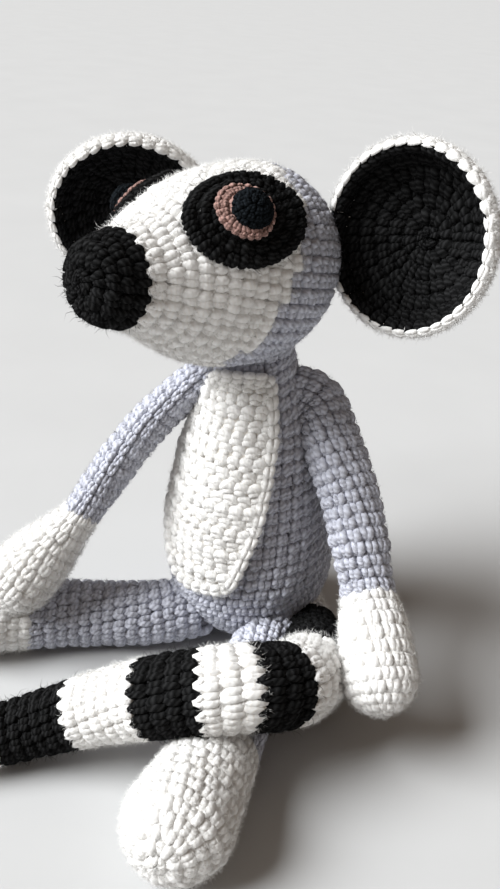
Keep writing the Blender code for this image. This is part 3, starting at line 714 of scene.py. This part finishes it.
def yarn_material(name, colour, shade_and_dye, highlight_and_dye, sheen, plies=3, specular=0.15, relief=0.8):
    """Plied yarn: twisted strands, fine fibres, and a little unevenness in the dye. The colour carries
    painted shade in the grooves between the plies and a painted highlight on them.
    """
    made = bpy.data.materials.get(name)
    if made:
        return made
    made, tree, shader = new_material(name)
    link = tree.links.new
    yarn_map = node(tree, "ShaderNodeUVMap", uv_map="yarn")
    split = node(tree, "ShaderNodeSeparateXYZ")
    link(yarn_map.outputs[0], split.inputs[0])
    around, along = split.outputs[0], split.outputs[1]
    phase = weighted(tree, (around, float(plies)), (along, TWIST * plies))
    wave = math_node(tree, "SINE", math_node(tree, "MULTIPLY", phase, FULL))
    ply = math_node(tree, "ADD", math_node(tree, "MULTIPLY", wave, 0.5), 0.5)
    stretch = node(tree, "ShaderNodeCombineXYZ")
    link(math_node(tree, "MULTIPLY", phase, 2.2), stretch.inputs[0])
    link(math_node(tree, "MULTIPLY", along, 3.0), stretch.inputs[1])
    fibres = node(tree, "ShaderNodeTexNoise", Scale=4.0, Detail=4.0, Roughness=0.65)
    link(stretch.outputs[0], fibres.inputs["Vector"])
    place = node(tree, "ShaderNodeTexCoord")
    dye = node(tree, "ShaderNodeTexNoise", Scale=120.0, Detail=3.0, Roughness=0.6)
    fleck = node(tree, "ShaderNodeTexNoise", Scale=1400.0, Detail=2.0, Roughness=0.7)
    for noise in (dye, fleck):
        link(place.outputs["Object"], noise.inputs["Vector"])
    tone = weighted(tree, *zip((ply, fibres.outputs["Fac"], dye.outputs["Fac"]), TONE_WEIGHTS))
    ramp = node(tree, "ShaderNodeValToRGB")
    link(tone, ramp.inputs[0])
    # The ramp's ends: painted shade in the ply grooves and a painted highlight on the plies, each with the
    # dye's tone.
    for element, at, tint in zip(ramp.color_ramp.elements, (SHADE_AND_DYE_AT, HIGHLIGHT_AND_DYE_AT), (shade_and_dye, highlight_and_dye)):
        element.position = at
        element.color = (*tint, 1)
    ramp.color_ramp.elements.new(COLOUR_AT).color = (*colour, 1)
    link(ramp.outputs[0], shader.inputs["Base Color"])
    height = weighted(tree, *zip((ply, fibres.outputs["Fac"], fleck.outputs["Fac"]), RELIEF_WEIGHTS))
    bump = node(tree, "ShaderNodeBump", Strength=relief, Distance=0.0006)
    link(height, bump.inputs["Height"])
    link(bump.outputs[0], shader.inputs["Normal"])
    finish = {"Roughness": 0.92, "Sheen Roughness": 0.5,
              "Sheen Weight": sheen, "Specular IOR Level": specular}
    for name, value in finish.items():
        shader.inputs[name].default_value = value
    return made


def main_stitch():
    """Width and height of a stitch in the toy's main yarn."""
    gauge = bpy.context.scene.lemur_gauge
    return gauge.stitch_width, gauge.row_height


def scaled(colour, shares):
    return tuple(float(c) for c in np.minimum(1.0, np.array(colour) * shares))


def yarn(kind):
    colour = tuple(getattr(bpy.context.scene.lemur_yarn, kind))
    # Painted shade for the ply grooves and a painted highlight for the plies, as shares of the colour.
    shade_and_dye, highlight_and_dye, finish = RECIPES[kind]
    shade_and_dye, highlight_and_dye = scaled(colour, shade_and_dye), scaled(colour, highlight_and_dye)
    return yarn_material(f"{kind}_plied_wool", colour, shade_and_dye, highlight_and_dye, **finish)


def shade(kind):
    """The same yarn in painted shade, as it looks in the depth of the fabric, with painted shade and a
    painted highlight of its own on the plies.
    """
    base = scaled(tuple(getattr(bpy.context.scene.lemur_yarn, kind)), PAINTED_SHADE_BEHIND[kind])
    return yarn_material(f"{kind}_wool_behind", base, scaled(base, 0.7), scaled(base, 1.2), sheen=0.0)


# ---- The toy's forms

def head_axes():
    return axes_along(facing(HEAD_TURN, HEAD_TILT), HEAD_ROLL)


def head_form():
    left, up, line = head_axes()
    profile = smooth_line(HEAD, 4)
    profile[:, 1] = np.maximum(profile[:, 1], 0)
    form = turned_form(profile, NOSE_TIP, (left, up, -line))
    form.rise = (up, BACK_START * MM, BACK_RISE / (HEAD_LENGTH - BACK_START))
    return form


def behind_plane(points, end, slant):
    """How far points of the head lie behind the slanted plane of a colour change."""
    left, up, line = head_axes()
    from_tip = points - np.array(NOSE_TIP) * MM
    return -from_tip @ line - end * MM - slant[0] * (from_tip @ left) - slant[1] * (from_tip @ up)


def colour_change(form, turn, end, slant):
    """Place along the head's surface of a colour change, for each turn."""
    places = np.linspace(0, form.length, 400)
    behind = behind_plane(form.surface(np.asarray(turn)[None], places[:, None])[0], end, slant)
    return places[np.argmax(behind > 0, axis=0)]


def trunk_form():
    return tube_form(TRUNK, cap_start=True)


def cup_profile(outer, depth):
    turns = np.radians(np.linspace(90, 0, 24))
    radii = outer * np.cos(turns).clip(0) ** CUP_SQUARE
    radii[0] = 0
    return np.stack([-depth * np.sin(turns), radii], 1)


def ear_forms(side):
    """Crowns of the stitches of an ear's outside and of its lining."""
    middle, turn, tilt = EARS[side]
    axes = axes_along(facing(turn, tilt))
    wall = EAR_SHELL - EAR_LINING
    shell = cup_profile(EAR_SHELL, EAR_DEPTH)
    lining = cup_profile(EAR_LINING - LINING_EDGE, EAR_DEPTH - wall - FABRIC)
    return turned_form(shell, middle, axes), turned_form(lining, middle, axes, inward=True)


def arm_form(side):
    form = tube_form(ARMS[side], round_start=True, round_end=True)
    cuff = form.place_of((ARMS[side][0][3] + ARM_GREY[side]) * MM)
    form.press = (unit(np.array(ARM_THIN[side])), cuff, FLAT_FADE * MM, ARM_FLATNESS)
    return form, cuff


def leg_form(side):
    form = tube_form(LEGS[side], round_start=True, round_end=True)
    return form, form.place_of((LEGS[side][0][3] + LEG_GREY[side]) * MM)


# ---- Sizes a user would change

def yarn_colour(name, description, default):
    return FloatVectorProperty(name=name, description=description, default=default, subtype="COLOR",
                               size=3, min=0, max=1)


def yarn_length(name, description, default):
    return FloatProperty(name=name, description=description, default=default, unit="LENGTH",
                         subtype="DISTANCE")


class YarnColours(bpy.types.PropertyGroup):
    grey: yarn_colour("Grey", "Body, arms, legs and back of the head", (0.50, 0.51, 0.575))
    white: yarn_colour("White", "Face, belly, hands, feet, ears and tail rings", (0.80, 0.79, 0.775))
    black: yarn_colour("Black", "Nose, eye patches, ear linings and tail rings", (0.008, 0.008, 0.0082))
    pink: yarn_colour("Brown pink", "Rings of the eyes", (0.31, 0.185, 0.16))
    navy: yarn_colour("Navy", "Pupils", (0.0045, 0.0058, 0.0072))


class Gauge(bpy.types.PropertyGroup):
    stitch_width: yarn_length("Stitch width", "Width of one stitch", 0.0052)
    row_height: yarn_length("Row height", "Height of one round of stitches", 0.0045)
    eye_width: yarn_length("Eye stitch width", "Width of a stitch in the eyes' thin yarn", 0.0027)
    fibres: IntProperty(name="Loose fibres", description="How many short fibres stand out of each stitch",
                        default=14, min=0)


class LEMUR_OT_head(bpy.types.Operator):
    """Nose, face and back of the head, worked in rounds from the nose back"""
    bl_idname = "lemur.head"
    bl_label = "Head"

    def execute(self, context):
        form = head_form()
        nose = form.place_of(NOSE_END * MM)
        rng = np.random.default_rng(SEEDS["head"])
        tip = rounds(form, 0.0, nose, 1, rng, main_stitch())
        rest = rounds(form, nose, form.length, 1, rng, main_stitch())
        back = behind_plane(form.surface(rest["u"], rest["v"])[0], FACE_END, FACE_SLANT) > 0
        for name, kind, cells in (("head_nose", "black", tip), ("head_face", "white", pick(rest, ~back)),
                                  ("head_back", "grey", pick(rest, back))):
            worked(name, kind, form.surface, cells, rng, toothed=name == "head_face")
        turn = turns_round(BACKING_SIDES)
        nose_line = colour_change(form, turn, NOSE_END, NOSE_SLANT)
        face_line = colour_change(form, turn, FACE_END, FACE_SLANT)
        backing("head_nose_fabric", form, 0.0, nose_line, "black", ["head_nose"])
        backing("head_face_fabric", form, nose_line, face_line, "white", ["head_face"])
        backing("head_back_fabric", form, face_line, form.length, "grey", ["head_back"])
        return {"FINISHED"}


def head_radius(distance):
    """Radius of the head at distances from the nose tip, in metres."""
    profile = np.array(HEAD) * MM
    return np.interp(distance, profile[:, 0], profile[:, 1])


def eye_frame(side):
    """Origin and axes of an eye on the head: along the head to the back, round it, and outward."""
    sign = 1 if side == "left" else -1
    left, up, line = head_axes()
    radii = np.array(HEAD)

    def radius(distance):
        return np.interp(distance, radii[:, 0], radii[:, 1])

    slope = math.atan2(radius(EYE_BACK + 5) - radius(EYE_BACK - 5), 10)
    turn = math.radians(EYE_UP)
    outward = left * sign * math.cos(turn) + up * math.sin(turn)
    normal = outward * math.cos(slope) + line * math.sin(slope)
    along = unit(-line - normal * normal.dot(-line))
    origin = np.array(NOSE_TIP) * MM + outward * radius(EYE_BACK) * MM - line * EYE_BACK * MM
    return origin, along, np.cross(normal, along), normal, sign


class EyeSurface:
    """Points on the head's curve under an eye, read by the turn and the distance from the eye's middle."""

    def __init__(self, side, lift, axes=(1.0, 1.0), shift=(0, 0)):
        self.origin, self.along, self.across, self.normal, sign = eye_frame(side)
        self.shift = (-shift[0] * MM, sign * shift[1] * MM)
        self.lift, self.axes = lift * MM, axes
        self.back = -head_axes()[2]
        self.tip = np.array(NOSE_TIP) * MM

    def height(self, point):
        """How far points must move along the eye's own direction to lie on the head."""
        reach = np.zeros(point.shape[:-1])
        for _ in range(14):
            here = point + self.normal * reach[..., None] - self.tip
            d = here @ self.back
            r = np.linalg.norm(here - d[..., None] * self.back, axis=-1)
            reach = reach + (head_radius(d) + self.lift - r) * 0.8
        return reach

    def point(self, turn, out):
        x = out * np.cos(turn) * self.axes[0] + self.shift[0]
        y = out * np.sin(turn) * self.axes[1] + self.shift[1]
        flat = self.origin + x[..., None] * self.along + y[..., None] * self.across
        return flat + self.normal * self.height(flat)[..., None]

    def surface(self, turn, out):
        turn, out = (np.array(a, float) for a in np.broadcast_arrays(turn, out))
        step = 0.4 * MM
        here = self.point(turn, out)
        across = self.point(turn, out + step) - self.point(turn, out - step)
        wide = np.maximum(abs(out), step)
        around = self.point(turn + step / wide, out) - self.point(turn - step / wide, out)
        normal = unit(np.cross(across, around))
        return here, normal * np.sign(normal @ self.normal)[..., None]

    def edge(self, limit, thick):
        """The rounded border of the disc, read by the bend over it and the distance round it."""
        def surface(bend, run):
            bend, run = np.broadcast_arrays(bend, run)
            turn = run / limit
            inner, normal = self.surface(turn, np.full(turn.shape, limit - thick))
            outer = self.surface(turn, np.full(turn.shape, limit))[0]
            out = unit(outer - inner)
            tip = out * np.cos(bend)[..., None] + normal * np.sin(bend)[..., None]
            return inner - normal * thick + tip * thick, tip
        return surface


def disc_rounds(limit, rng, stitch_size, start=0.0):
    """Cells of stitches worked outward in rounds on a disc."""
    width, height = stitch_size
    count = max(1, round((limit - start) / height))
    step = (limit - start) / count
    u, v, du, where = [], [], [], []
    for i in range(count):
        out = start + (i + 0.5) * step
        n = max(6, round(FULL * out / width))
        turn = (np.arange(n) + 0.5 + LEAN * i) / n * FULL
        u.append(turn)
        v.append(np.full(n, out))
        du.append(np.full(n, 1 / max(out, 0.3 * width)))
        where.append(0.5 + 0.47 * out / limit * np.stack([np.cos(turn), np.sin(turn)], 1))
    u, v, du, where = np.concatenate(u), np.concatenate(v), np.concatenate(du), np.vstack(where)
    return cells_of(u, v, du, step / height, where, rng)


def braid_cells(length, bend, roll, height, rng, lift=0.0):
    """Cells of a row of chain stitches that runs along an edge."""
    n = round(length / height)
    run = (np.arange(n) + 0.5) * length / n
    where = np.stack([on_map(run / length), np.full(n, 0.5)], 1)
    return cells_of(np.full(n, bend), run, 1 / roll, length / n / height, where, rng, lift=lift)


def disc_piece(name, surface, limit, thick, kind, nodes):
    """A closed disc that follows a surface, under the stitches of an eye, in the yarn's painted shade."""
    rings, sides = 7, 40
    out = np.linspace(limit, 0.05 * limit, rings)
    top, normal = surface(turns_round(sides)[None], out[:, None])
    piece = closed_piece(name, np.concatenate([(top - normal * thick)[::-1], top]), kind, 20)
    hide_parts(*nodes)


class LEMUR_OT_eyes(bpy.types.Operator):
    """Black patches, brown pink rings and round pupils of the eyes, sewn on the head"""
    bl_idname = "lemur.eyes"
    bl_label = "Eyes"

    def execute(self, context):
        wide, high = (size * EYE_STITCH for size in main_stitch())
        fine = context.scene.lemur_gauge.eye_width
        axes = (1.0, EYE_PATCH[1] / EYE_PATCH[0])
        lift = FABRIC + EYE_GAP + IRIS_THICK
        for k, side in enumerate(("left", "right")):
            rng = np.random.default_rng(SEEDS["eyes"] + k)
            patch = EyeSurface(side, FABRIC, axes, EYE_PATCH_SHIFT)
            fabric = Fabric()
            cells = disc_rounds((EYE_PATCH[0] + PATCH_REACH) * MM, rng, (wide, high))
            crochet(fabric, patch.surface, cells, rng, (wide, high))
            fuzz_of(fabric, "black", patch.surface, cells, rng)
            fabric.make(f"eye_{side}_patch_stitches", "black")
            low, less, thick = PATCH_UNDER
            under = EyeSurface(side, FABRIC - low, axes, EYE_PATCH_SHIFT).surface
            disc_piece(f"eye_{side}_patch_fabric", under, (EYE_PATCH[0] - less) * MM, thick * MM, "black",
                       [f"eye_{side}_patch"])

            iris = EyeSurface(side, lift)
            fabric = Fabric()
            cells = disc_rounds((IRIS_RADIUS - IRIS_EDGE) * MM, rng, (fine, fine), start=fine)
            crochet(fabric, iris.surface, cells, rng, (fine, fine), plump=THIN_PLUMP)
            edge = iris.edge(IRIS_RADIUS * MM, IRIS_EDGE * MM)
            cells = braid_cells(FULL * IRIS_RADIUS * MM, IRIS_BEND, IRIS_EDGE * MM, fine, rng)
            crochet(fabric, edge, cells, rng, (fine, fine), stitch="chain")
            fabric.make(f"eye_{side}_iris_stitches", "pink")
            low, less, thick = IRIS_UNDER
            under = EyeSurface(side, lift - low).surface
            disc_piece(f"eye_{side}_iris_fabric", under, (IRIS_RADIUS - less) * MM, thick * MM, "pink",
                       [f"eye_{side}_iris"])

            form = pupil_form(side, lift)
            fabric = Fabric()
            cells = rounds(form, 0, form.length, 1, rng, (fine, fine))
            crochet(fabric, form.surface, cells, rng, (fine, fine), plump=THIN_PLUMP)
            fabric.make(f"eye_{side}_pupil_stitches", "navy")
            backing(f"eye_{side}_pupil_fabric", form, 0, form.length, "navy", [f"eye_{side}_pupil"],
                    depth=PUPIL_UNDER * MM)
        return {"FINISHED"}


def pupil_form(side, lift):
    """A low dome on the eye's iris."""
    origin, along, across, normal, sign = eye_frame(side)
    middle = origin - along * PUPIL_SHIFT[0] * MM + across * sign * PUPIL_SHIFT[1] * MM
    middle = middle + normal * (lift - PUPIL_SUNK) * MM
    turns = np.radians(np.linspace(90, 0, 20))
    profile = np.stack([(PUPIL_HEIGHT + PUPIL_SUNK) * np.sin(turns), PUPIL_RADIUS * np.cos(turns)], 1)
    profile[0, 1] = 0
    return turned_form(profile, middle / MM, (along, across, normal))


class LEMUR_OT_ears(bpy.types.Operator):
    """Two nested cups for each ear, white outside and black inside, joined by a white rim"""
    bl_idname = "lemur.ears"
    bl_label = "Ears"

    def execute(self, context):
        width, height = main_stitch()
        head = head_form()
        for k, side in enumerate(("left", "right")):
            rng = np.random.default_rng(SEEDS["ears"] + k)
            shell, lining = ear_forms(side)
            for layer, form, kind in (("shell", shell, "white"), ("lining", lining, "black")):
                cells = rounds(form, 0.0, form.length - RIM_PART[layer] * MM, 1, rng, (width, height),
                               drop=inside_any([head], HIDDEN["ear"]))
                worked(f"ear_{side}_{layer}", kind, form.surface, cells, rng)
            rim, fabric = ear_rim(side), Fabric()
            cells = braid_cells(FULL * RIM_RADIUS * MM, RIM_BEND, RIM_ROLL * MM, height, rng)
            cells = pick(cells, head.depth(rim(cells["u"], cells["v"])[0]) > -HIDDEN["rim"])
            size = (width * RIM_STITCH, height)
            crochet(fabric, rim, cells, rng, size, plump=PLUMP["white"], stitch="chain")
            fuzz_of(fabric, "white", rim, dict(cells, u=cells["u"] - RIM_BEND), rng)
            fabric.make(f"ear_{side}_rim_stitches", "white")
            ear_wall(side, shell, lining)
        return {"FINISHED"}


def ear_rim(side):
    """The rolled edge of an ear, read by the bend over it and the distance round it."""
    middle, turn, tilt = EARS[side]
    left, up, line = axes_along(facing(turn, tilt))
    middle = (np.array(middle) - line * RIM_BACK) * MM

    def surface(bend, run):
        a = run / (RIM_RADIUS * MM)
        out = np.cos(a)[..., None] * left + np.sin(a)[..., None] * up
        tip = np.cos(bend)[..., None] * out + np.sin(bend)[..., None] * line
        return middle + out * RIM_RADIUS * MM + tip * RIM_ROLL * MM, tip
    return surface


def ear_wall(side, shell, lining):
    """The closed fabric between the shell's and the lining's stitches, in the painted shade of the white yarn
    outside and of the black yarn inside.
    """
    sides, rows, low = 44, 12, 2.2 * MM
    walls = []
    for form in (shell, lining):
        places = np.linspace(0.4 * MM, form.length, rows)[:, None]
        point, normal = form.surface(turns_round(sides)[None], places)
        walls.append(point - normal * low)
    piece = closed_piece(f"ear_{side}_fabric", np.concatenate([walls[0], walls[1][::-1]]), "white", 40)
    piece.data.materials.append(shade("black"))
    inside = np.arange(2 * rows - 1) >= rows - 1
    index = np.concatenate([np.repeat(inside, sides), np.tile([0, 1], sides)])
    piece.data.polygons.foreach_set("material_index", index.astype(np.int32))
    piece.data.update()
    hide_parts(f"ear_{side}_shell", f"ear_{side}_lining")


class LEMUR_OT_trunk(bpy.types.Operator):
    """Trunk and neck, worked in rounds from the seat up"""
    bl_idname = "lemur.trunk"
    bl_label = "Trunk and neck"

    def execute(self, context):
        form = trunk_form()
        neck = form.place_of(NECK_BASE * MM)
        hidden = inside_any([head_form()], HIDDEN["trunk"])
        for k, (name, start, end) in enumerate((("trunk", 0.0, neck), ("neck", neck, form.length))):
            rng = np.random.default_rng(SEEDS["trunk"] + k)
            cells = rounds(form, start, end, 1, rng, main_stitch(), hidden)
            worked(name, "grey", form.surface, cells, rng, floor=0.0)
            backing(f"{name}_fabric", form, start, end, "grey", [name], floor=FLOOR_GAP)
        return {"FINISHED"}


class PanelSurface:
    """The belly panel on the trunk's front, read by the distance across and the height."""

    def __init__(self, lift):
        self.form = trunk_form()
        self.lift = lift * MM
        self.by_height = (self.form.table[:, 2], np.arange(len(self.form.table)) * self.form.STEP)

    def surface(self, across, height):
        across, height = np.broadcast_arrays(across, height)
        place = np.interp(height, *self.by_height)
        turn = -math.pi / 2 + across / (self.form.radius(place) + self.lift)
        point, normal = self.form.surface(turn, place)
        return point + normal * self.lift, normal

    def edges(self, height):
        """The panel's two edges at some heights, measured round the trunk."""
        place = np.interp(height, *self.by_height)
        radius = self.form.radius(place) + self.lift
        middle = np.interp(height, self.form.table[:, 2], self.form.table[:, 0])
        heights, right, left = np.array(PANEL, float).T * MM
        return [radius * np.arcsin(np.clip((np.interp(height, heights, edge) - middle) / radius, -0.98, 0.98))
                for edge in (right, left)]

    def border(self, inset):
        """The panel's outline, read by the distance inward and the distance round it, and its length."""
        heights = smooth_line(np.array(PANEL)[:, :1], 6)[:, 0] * MM
        right, left = self.edges(heights)
        line = np.stack([np.concatenate([left, right[::-1]]), np.concatenate([heights, heights[::-1]])], 1)
        line = np.vstack([line, line[:1]])
        run = run_along(line)
        fine = np.linspace(0, run[-1], 600)
        line = np.stack([np.interp(fine, run, line[:, k]) for k in (0, 1)], 1)
        for _ in range(12):
            line = (np.roll(line, 1, 0) + line + np.roll(line, -1, 0)) / 3
        ahead = unit(np.roll(line, -1, 0) - np.roll(line, 1, 0))

        def surface(side, along):
            q = (along / run[-1]) % 1 * len(line)
            i = np.floor(q).astype(int) % len(line)
            j, f = (i + 1) % len(line), (q - np.floor(q))[..., None]
            t = unit(ahead[i] * (1 - f) + ahead[j] * f)
            spot = line[i] * (1 - f) + line[j] * f
            spot = spot + np.stack([-t[..., 1], t[..., 0]], -1) * (side + inset)[..., None]
            return self.surface(spot[..., 0], spot[..., 1])
        return surface, run[-1]


class LEMUR_OT_panel(bpy.types.Operator):
    """White belly panel, worked flat in rows that show their backs, with an edging, sewn on the trunk"""
    bl_idname = "lemur.panel"
    bl_label = "Belly panel"

    def execute(self, context):
        rng = np.random.default_rng(SEEDS["panel"])
        wide, high = main_stitch()
        panel = PanelSurface(FABRIC)
        head = head_form()
        low, top = PANEL[0][0] * MM, PANEL[-1][0] * MM
        count = round((top - low - high) / high)
        step = (top - low - high) / count
        fabric, edging = Fabric(), Fabric()
        for i in range(count):
            height = low + high / 2 + (i + 0.5) * step
            right, left = (float(edge) for edge in panel.edges(np.array(height)))
            right, left = right + EDGING_INSET, left - EDGING_INSET
            n = max(2, round((left - right) / wide))
            across = right + (np.arange(n) + PANEL_LEAN[i % 2]) / n * (left - right)
            up = (height - low) / (top - low)
            where = np.stack([across / (60 * MM) + 0.5, np.full(n, up * MAP_FILL)], 1)
            cells = cells_of(across, np.full(n, height), (left - right) / n / wide, step / high, where, rng,
                             looseness=PANEL_LOOSENESS, lift=(RIDGE if i % 2 else -RIDGE) - PANEL_SUNK)
            cells = pick(cells, head.depth(panel.surface(cells["u"], cells["v"])[0]) > -HIDDEN["panel"])
            crochet(fabric, panel.surface, cells, rng, (wide, high), None, PANEL_PLUMP, "back", kinds=3)
            fuzz_of(fabric, "white", panel.surface, cells, rng)
        fabric.make("belly_panel_stitches", "white")
        border, length = panel.border(EDGING_INSET)
        cells = braid_cells(length, 0.0, 1.0, high, rng, lift=EDGING_LIFT)
        cells = pick(cells, head.depth(border(cells["u"], cells["v"])[0]) > -HIDDEN["panel"])
        crochet(edging, border, cells, rng, (wide * EDGING_STITCH, high), stitch="chain")
        fuzz_of(edging, "white", border, cells, rng)
        edging.make("belly_panel_edging", "white")
        panel_sheet()
        return {"FINISHED"}


def panel_sheet():
    """The closed layer of fabric under the panel's stitches, in the white yarn's painted shade."""
    panel = PanelSurface(FABRIC)
    rows, sides, low, thick, inset = 40, 14, 2.2 * MM, 0.9 * MM, 1.2 * MM
    heights = np.linspace(PANEL[0][0] * MM + inset, PANEL[-1][0] * MM - inset, rows)[:, None]
    right, left = panel.edges(heights)
    share = np.linspace(0, 1, sides)
    top, normal = panel.surface((right + inset) * (1 - share) + (left - inset) * share, heights)
    front, back = (top - normal * depth for depth in (low, low + thick))
    piece = closed_piece("belly_panel_fabric", np.concatenate([front, back[:, ::-1]], 1), "white", 30)
    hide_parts("belly_panel")


class LEMUR_OT_limbs(bpy.types.Operator):
    """Grey arms and legs with white hands and feet, each worked from its end up"""
    bl_idname = "lemur.limbs"
    bl_label = "Arms and legs"

    def execute(self, context):
        hidden = inside_any([trunk_form(), head_form()], HIDDEN["limb"])
        for k, side in enumerate(("left", "right")):
            limbs = (("arm", "hand", arm_form(side)), ("leg", "foot", leg_form(side)))
            for m, (limb, end, (form, cuff)) in enumerate(limbs):
                rng = np.random.default_rng(SEEDS["limbs"] + 10 * k + m)
                for part, start, stop, kind in ((limb, 0.0, cuff, "grey"), (end, cuff, form.length, "white")):
                    name = f"{part}_{side}"
                    cells = rounds(form, start, stop, -1, rng, main_stitch(), hidden)
                    worked(name, kind, form.surface, cells, rng, floor=0.0, toothed=kind == "grey")
                    backing(f"{name}_fabric", form, start, stop, kind, [name], floor=FLOOR_GAP)
        return {"FINISHED"}


class LEMUR_OT_tail(bpy.types.Operator):
    """Black and white rings of the tail, worked from the tip to the base"""
    bl_idname = "lemur.tail"
    bl_label = "Tail"

    def execute(self, context):
        form = tube_form(TAIL, round_start=True, round_end=True)
        hidden = inside_any([trunk_form(), leg_form("left")[0], arm_form("left")[0]], HIDDEN["limb"])
        start, line = 0.0, TAIL[0][3]
        for k in range(len(RINGS) + 1):
            end = form.length
            if k < len(RINGS):
                line += RINGS[k] + SEAM_GAP
                end = form.place_of((line - SEAM_GAP / 2) * MM)
            rng = np.random.default_rng(SEEDS["tail"] + k)
            kind, name = "black" if k % 2 else "white", f"tail_{k + 1:02d}"
            cells = rounds(form, start, end, -1, rng, main_stitch(), hidden)
            worked(name, kind, form.surface, cells, rng, floor=0.0, toothed=k < len(RINGS))
            backing(f"{name}_fabric", form, start, end, kind, [name], floor=FLOOR_GAP)
            start = end
        return {"FINISHED"}


class LEMUR_OT_stage(bpy.types.Operator):
    """Pale floor, soft window light and the camera"""
    bl_idname = "lemur.stage"
    bl_label = "Stage"

    def execute(self, context):
        pale_floor()
        studio_light()
        studio_camera()
        context.scene.view_settings.view_transform = "Standard"
        return {"FINISHED"}


def pale_floor():
    sides, reach = 48, 8.0
    corners = [(reach * math.cos(a), reach * math.sin(a), 0.0) for a in turns_round(sides)]
    mesh = bpy.data.meshes.new("floor")
    mesh.from_pydata(corners, [], [list(range(sides))])
    made, tree, shader = new_material("pale_floor")
    place = node(tree, "ShaderNodeTexCoord")
    grain = node(tree, "ShaderNodeTexNoise", Scale=14.0, Detail=5.0)
    tree.links.new(place.outputs["Object"], grain.inputs["Vector"])
    ramp = node(tree, "ShaderNodeValToRGB")
    for element, tone in zip(ramp.color_ramp.elements, FLOOR_TONES):
        element.color = (*tone, 1)
    tree.links.new(grain.outputs["Fac"], ramp.inputs[0])
    tree.links.new(ramp.outputs[0], shader.inputs["Base Color"])
    shader.inputs["Roughness"].default_value = 0.85
    mesh.materials.append(made)
    floor = add_object("floor", mesh)


def studio_light():
    world = bpy.data.worlds.new("studio")
    bpy.context.scene.world = world
    world.use_nodes = True
    sky = world.node_tree.nodes["Background"]
    sky.inputs["Color"].default_value = (*WORLD_COLOUR, 1)
    sky.inputs["Strength"].default_value = WORLD_STRENGTH
    light = bpy.data.lights.new("window", "SUN")
    light.angle = math.radians(WINDOW_WIDTH)
    light.energy = WINDOW_STRENGTH
    light.color = WINDOW_COLOUR
    lamp = add_object("window", light)
    aim = -Vector(facing(*WINDOW_PLACE))
    lamp.rotation_mode = "QUATERNION"
    lamp.rotation_quaternion = aim.to_track_quat("-Z", "Y")


def studio_camera():
    heading, pitch, roll = CAMERA_TURN
    look = -Vector(facing(-heading, pitch))
    right = look.cross(Vector((0, 0, 1))).normalized()
    up = right.cross(look)
    c, s = math.cos(math.radians(roll)), math.sin(math.radians(roll))
    right, up = right * c + up * s, up * c - right * s
    data = bpy.data.cameras.new("camera")
    data.lens, data.sensor_width, data.clip_start = LENS, SENSOR, NEAREST
    camera = add_object("camera", data)
    camera.matrix_world = Matrix.Translation(CAMERA_PLACE) @ Matrix((right, up, -look)).transposed().to_4x4()
    bpy.context.scene.camera = camera


class LEMUR_PT_crochet(bpy.types.Panel):
    """The pieces of the toy"""
    bl_label = "Crocheted Lemur"
    bl_idname = "LEMUR_PT_crochet"
    bl_space_type = "VIEW_3D"
    bl_region_type = "UI"
    bl_category = "Crochet"

    def draw(self, context):
        for operator in OPERATORS:
            self.layout.operator(operator.bl_idname)
        for group in (context.scene.lemur_yarn, context.scene.lemur_gauge):
            for name in group.bl_rna.properties.keys():
                if name not in ("rna_type", "name"):
                    self.layout.prop(group, name)


OPERATORS = (LEMUR_OT_head, LEMUR_OT_eyes, LEMUR_OT_ears, LEMUR_OT_trunk, LEMUR_OT_panel, LEMUR_OT_limbs,
             LEMUR_OT_tail, LEMUR_OT_stage)
CLASSES = (YarnColours, Gauge, *OPERATORS, LEMUR_PT_crochet)


def register():
    for made in CLASSES:
        bpy.utils.register_class(made)
    bpy.types.Scene.lemur_yarn = PointerProperty(type=YarnColours)
    bpy.types.Scene.lemur_gauge = PointerProperty(type=Gauge)


def unregister():
    del bpy.types.Scene.lemur_gauge
    del bpy.types.Scene.lemur_yarn
    for made in reversed(CLASSES):
        bpy.utils.unregister_class(made)


def main():
    register()
    for operator in OPERATORS:
        area, name = operator.bl_idname.split(".")
        getattr(getattr(bpy.ops, area), name)()


if __name__ == "__main__":
    main()
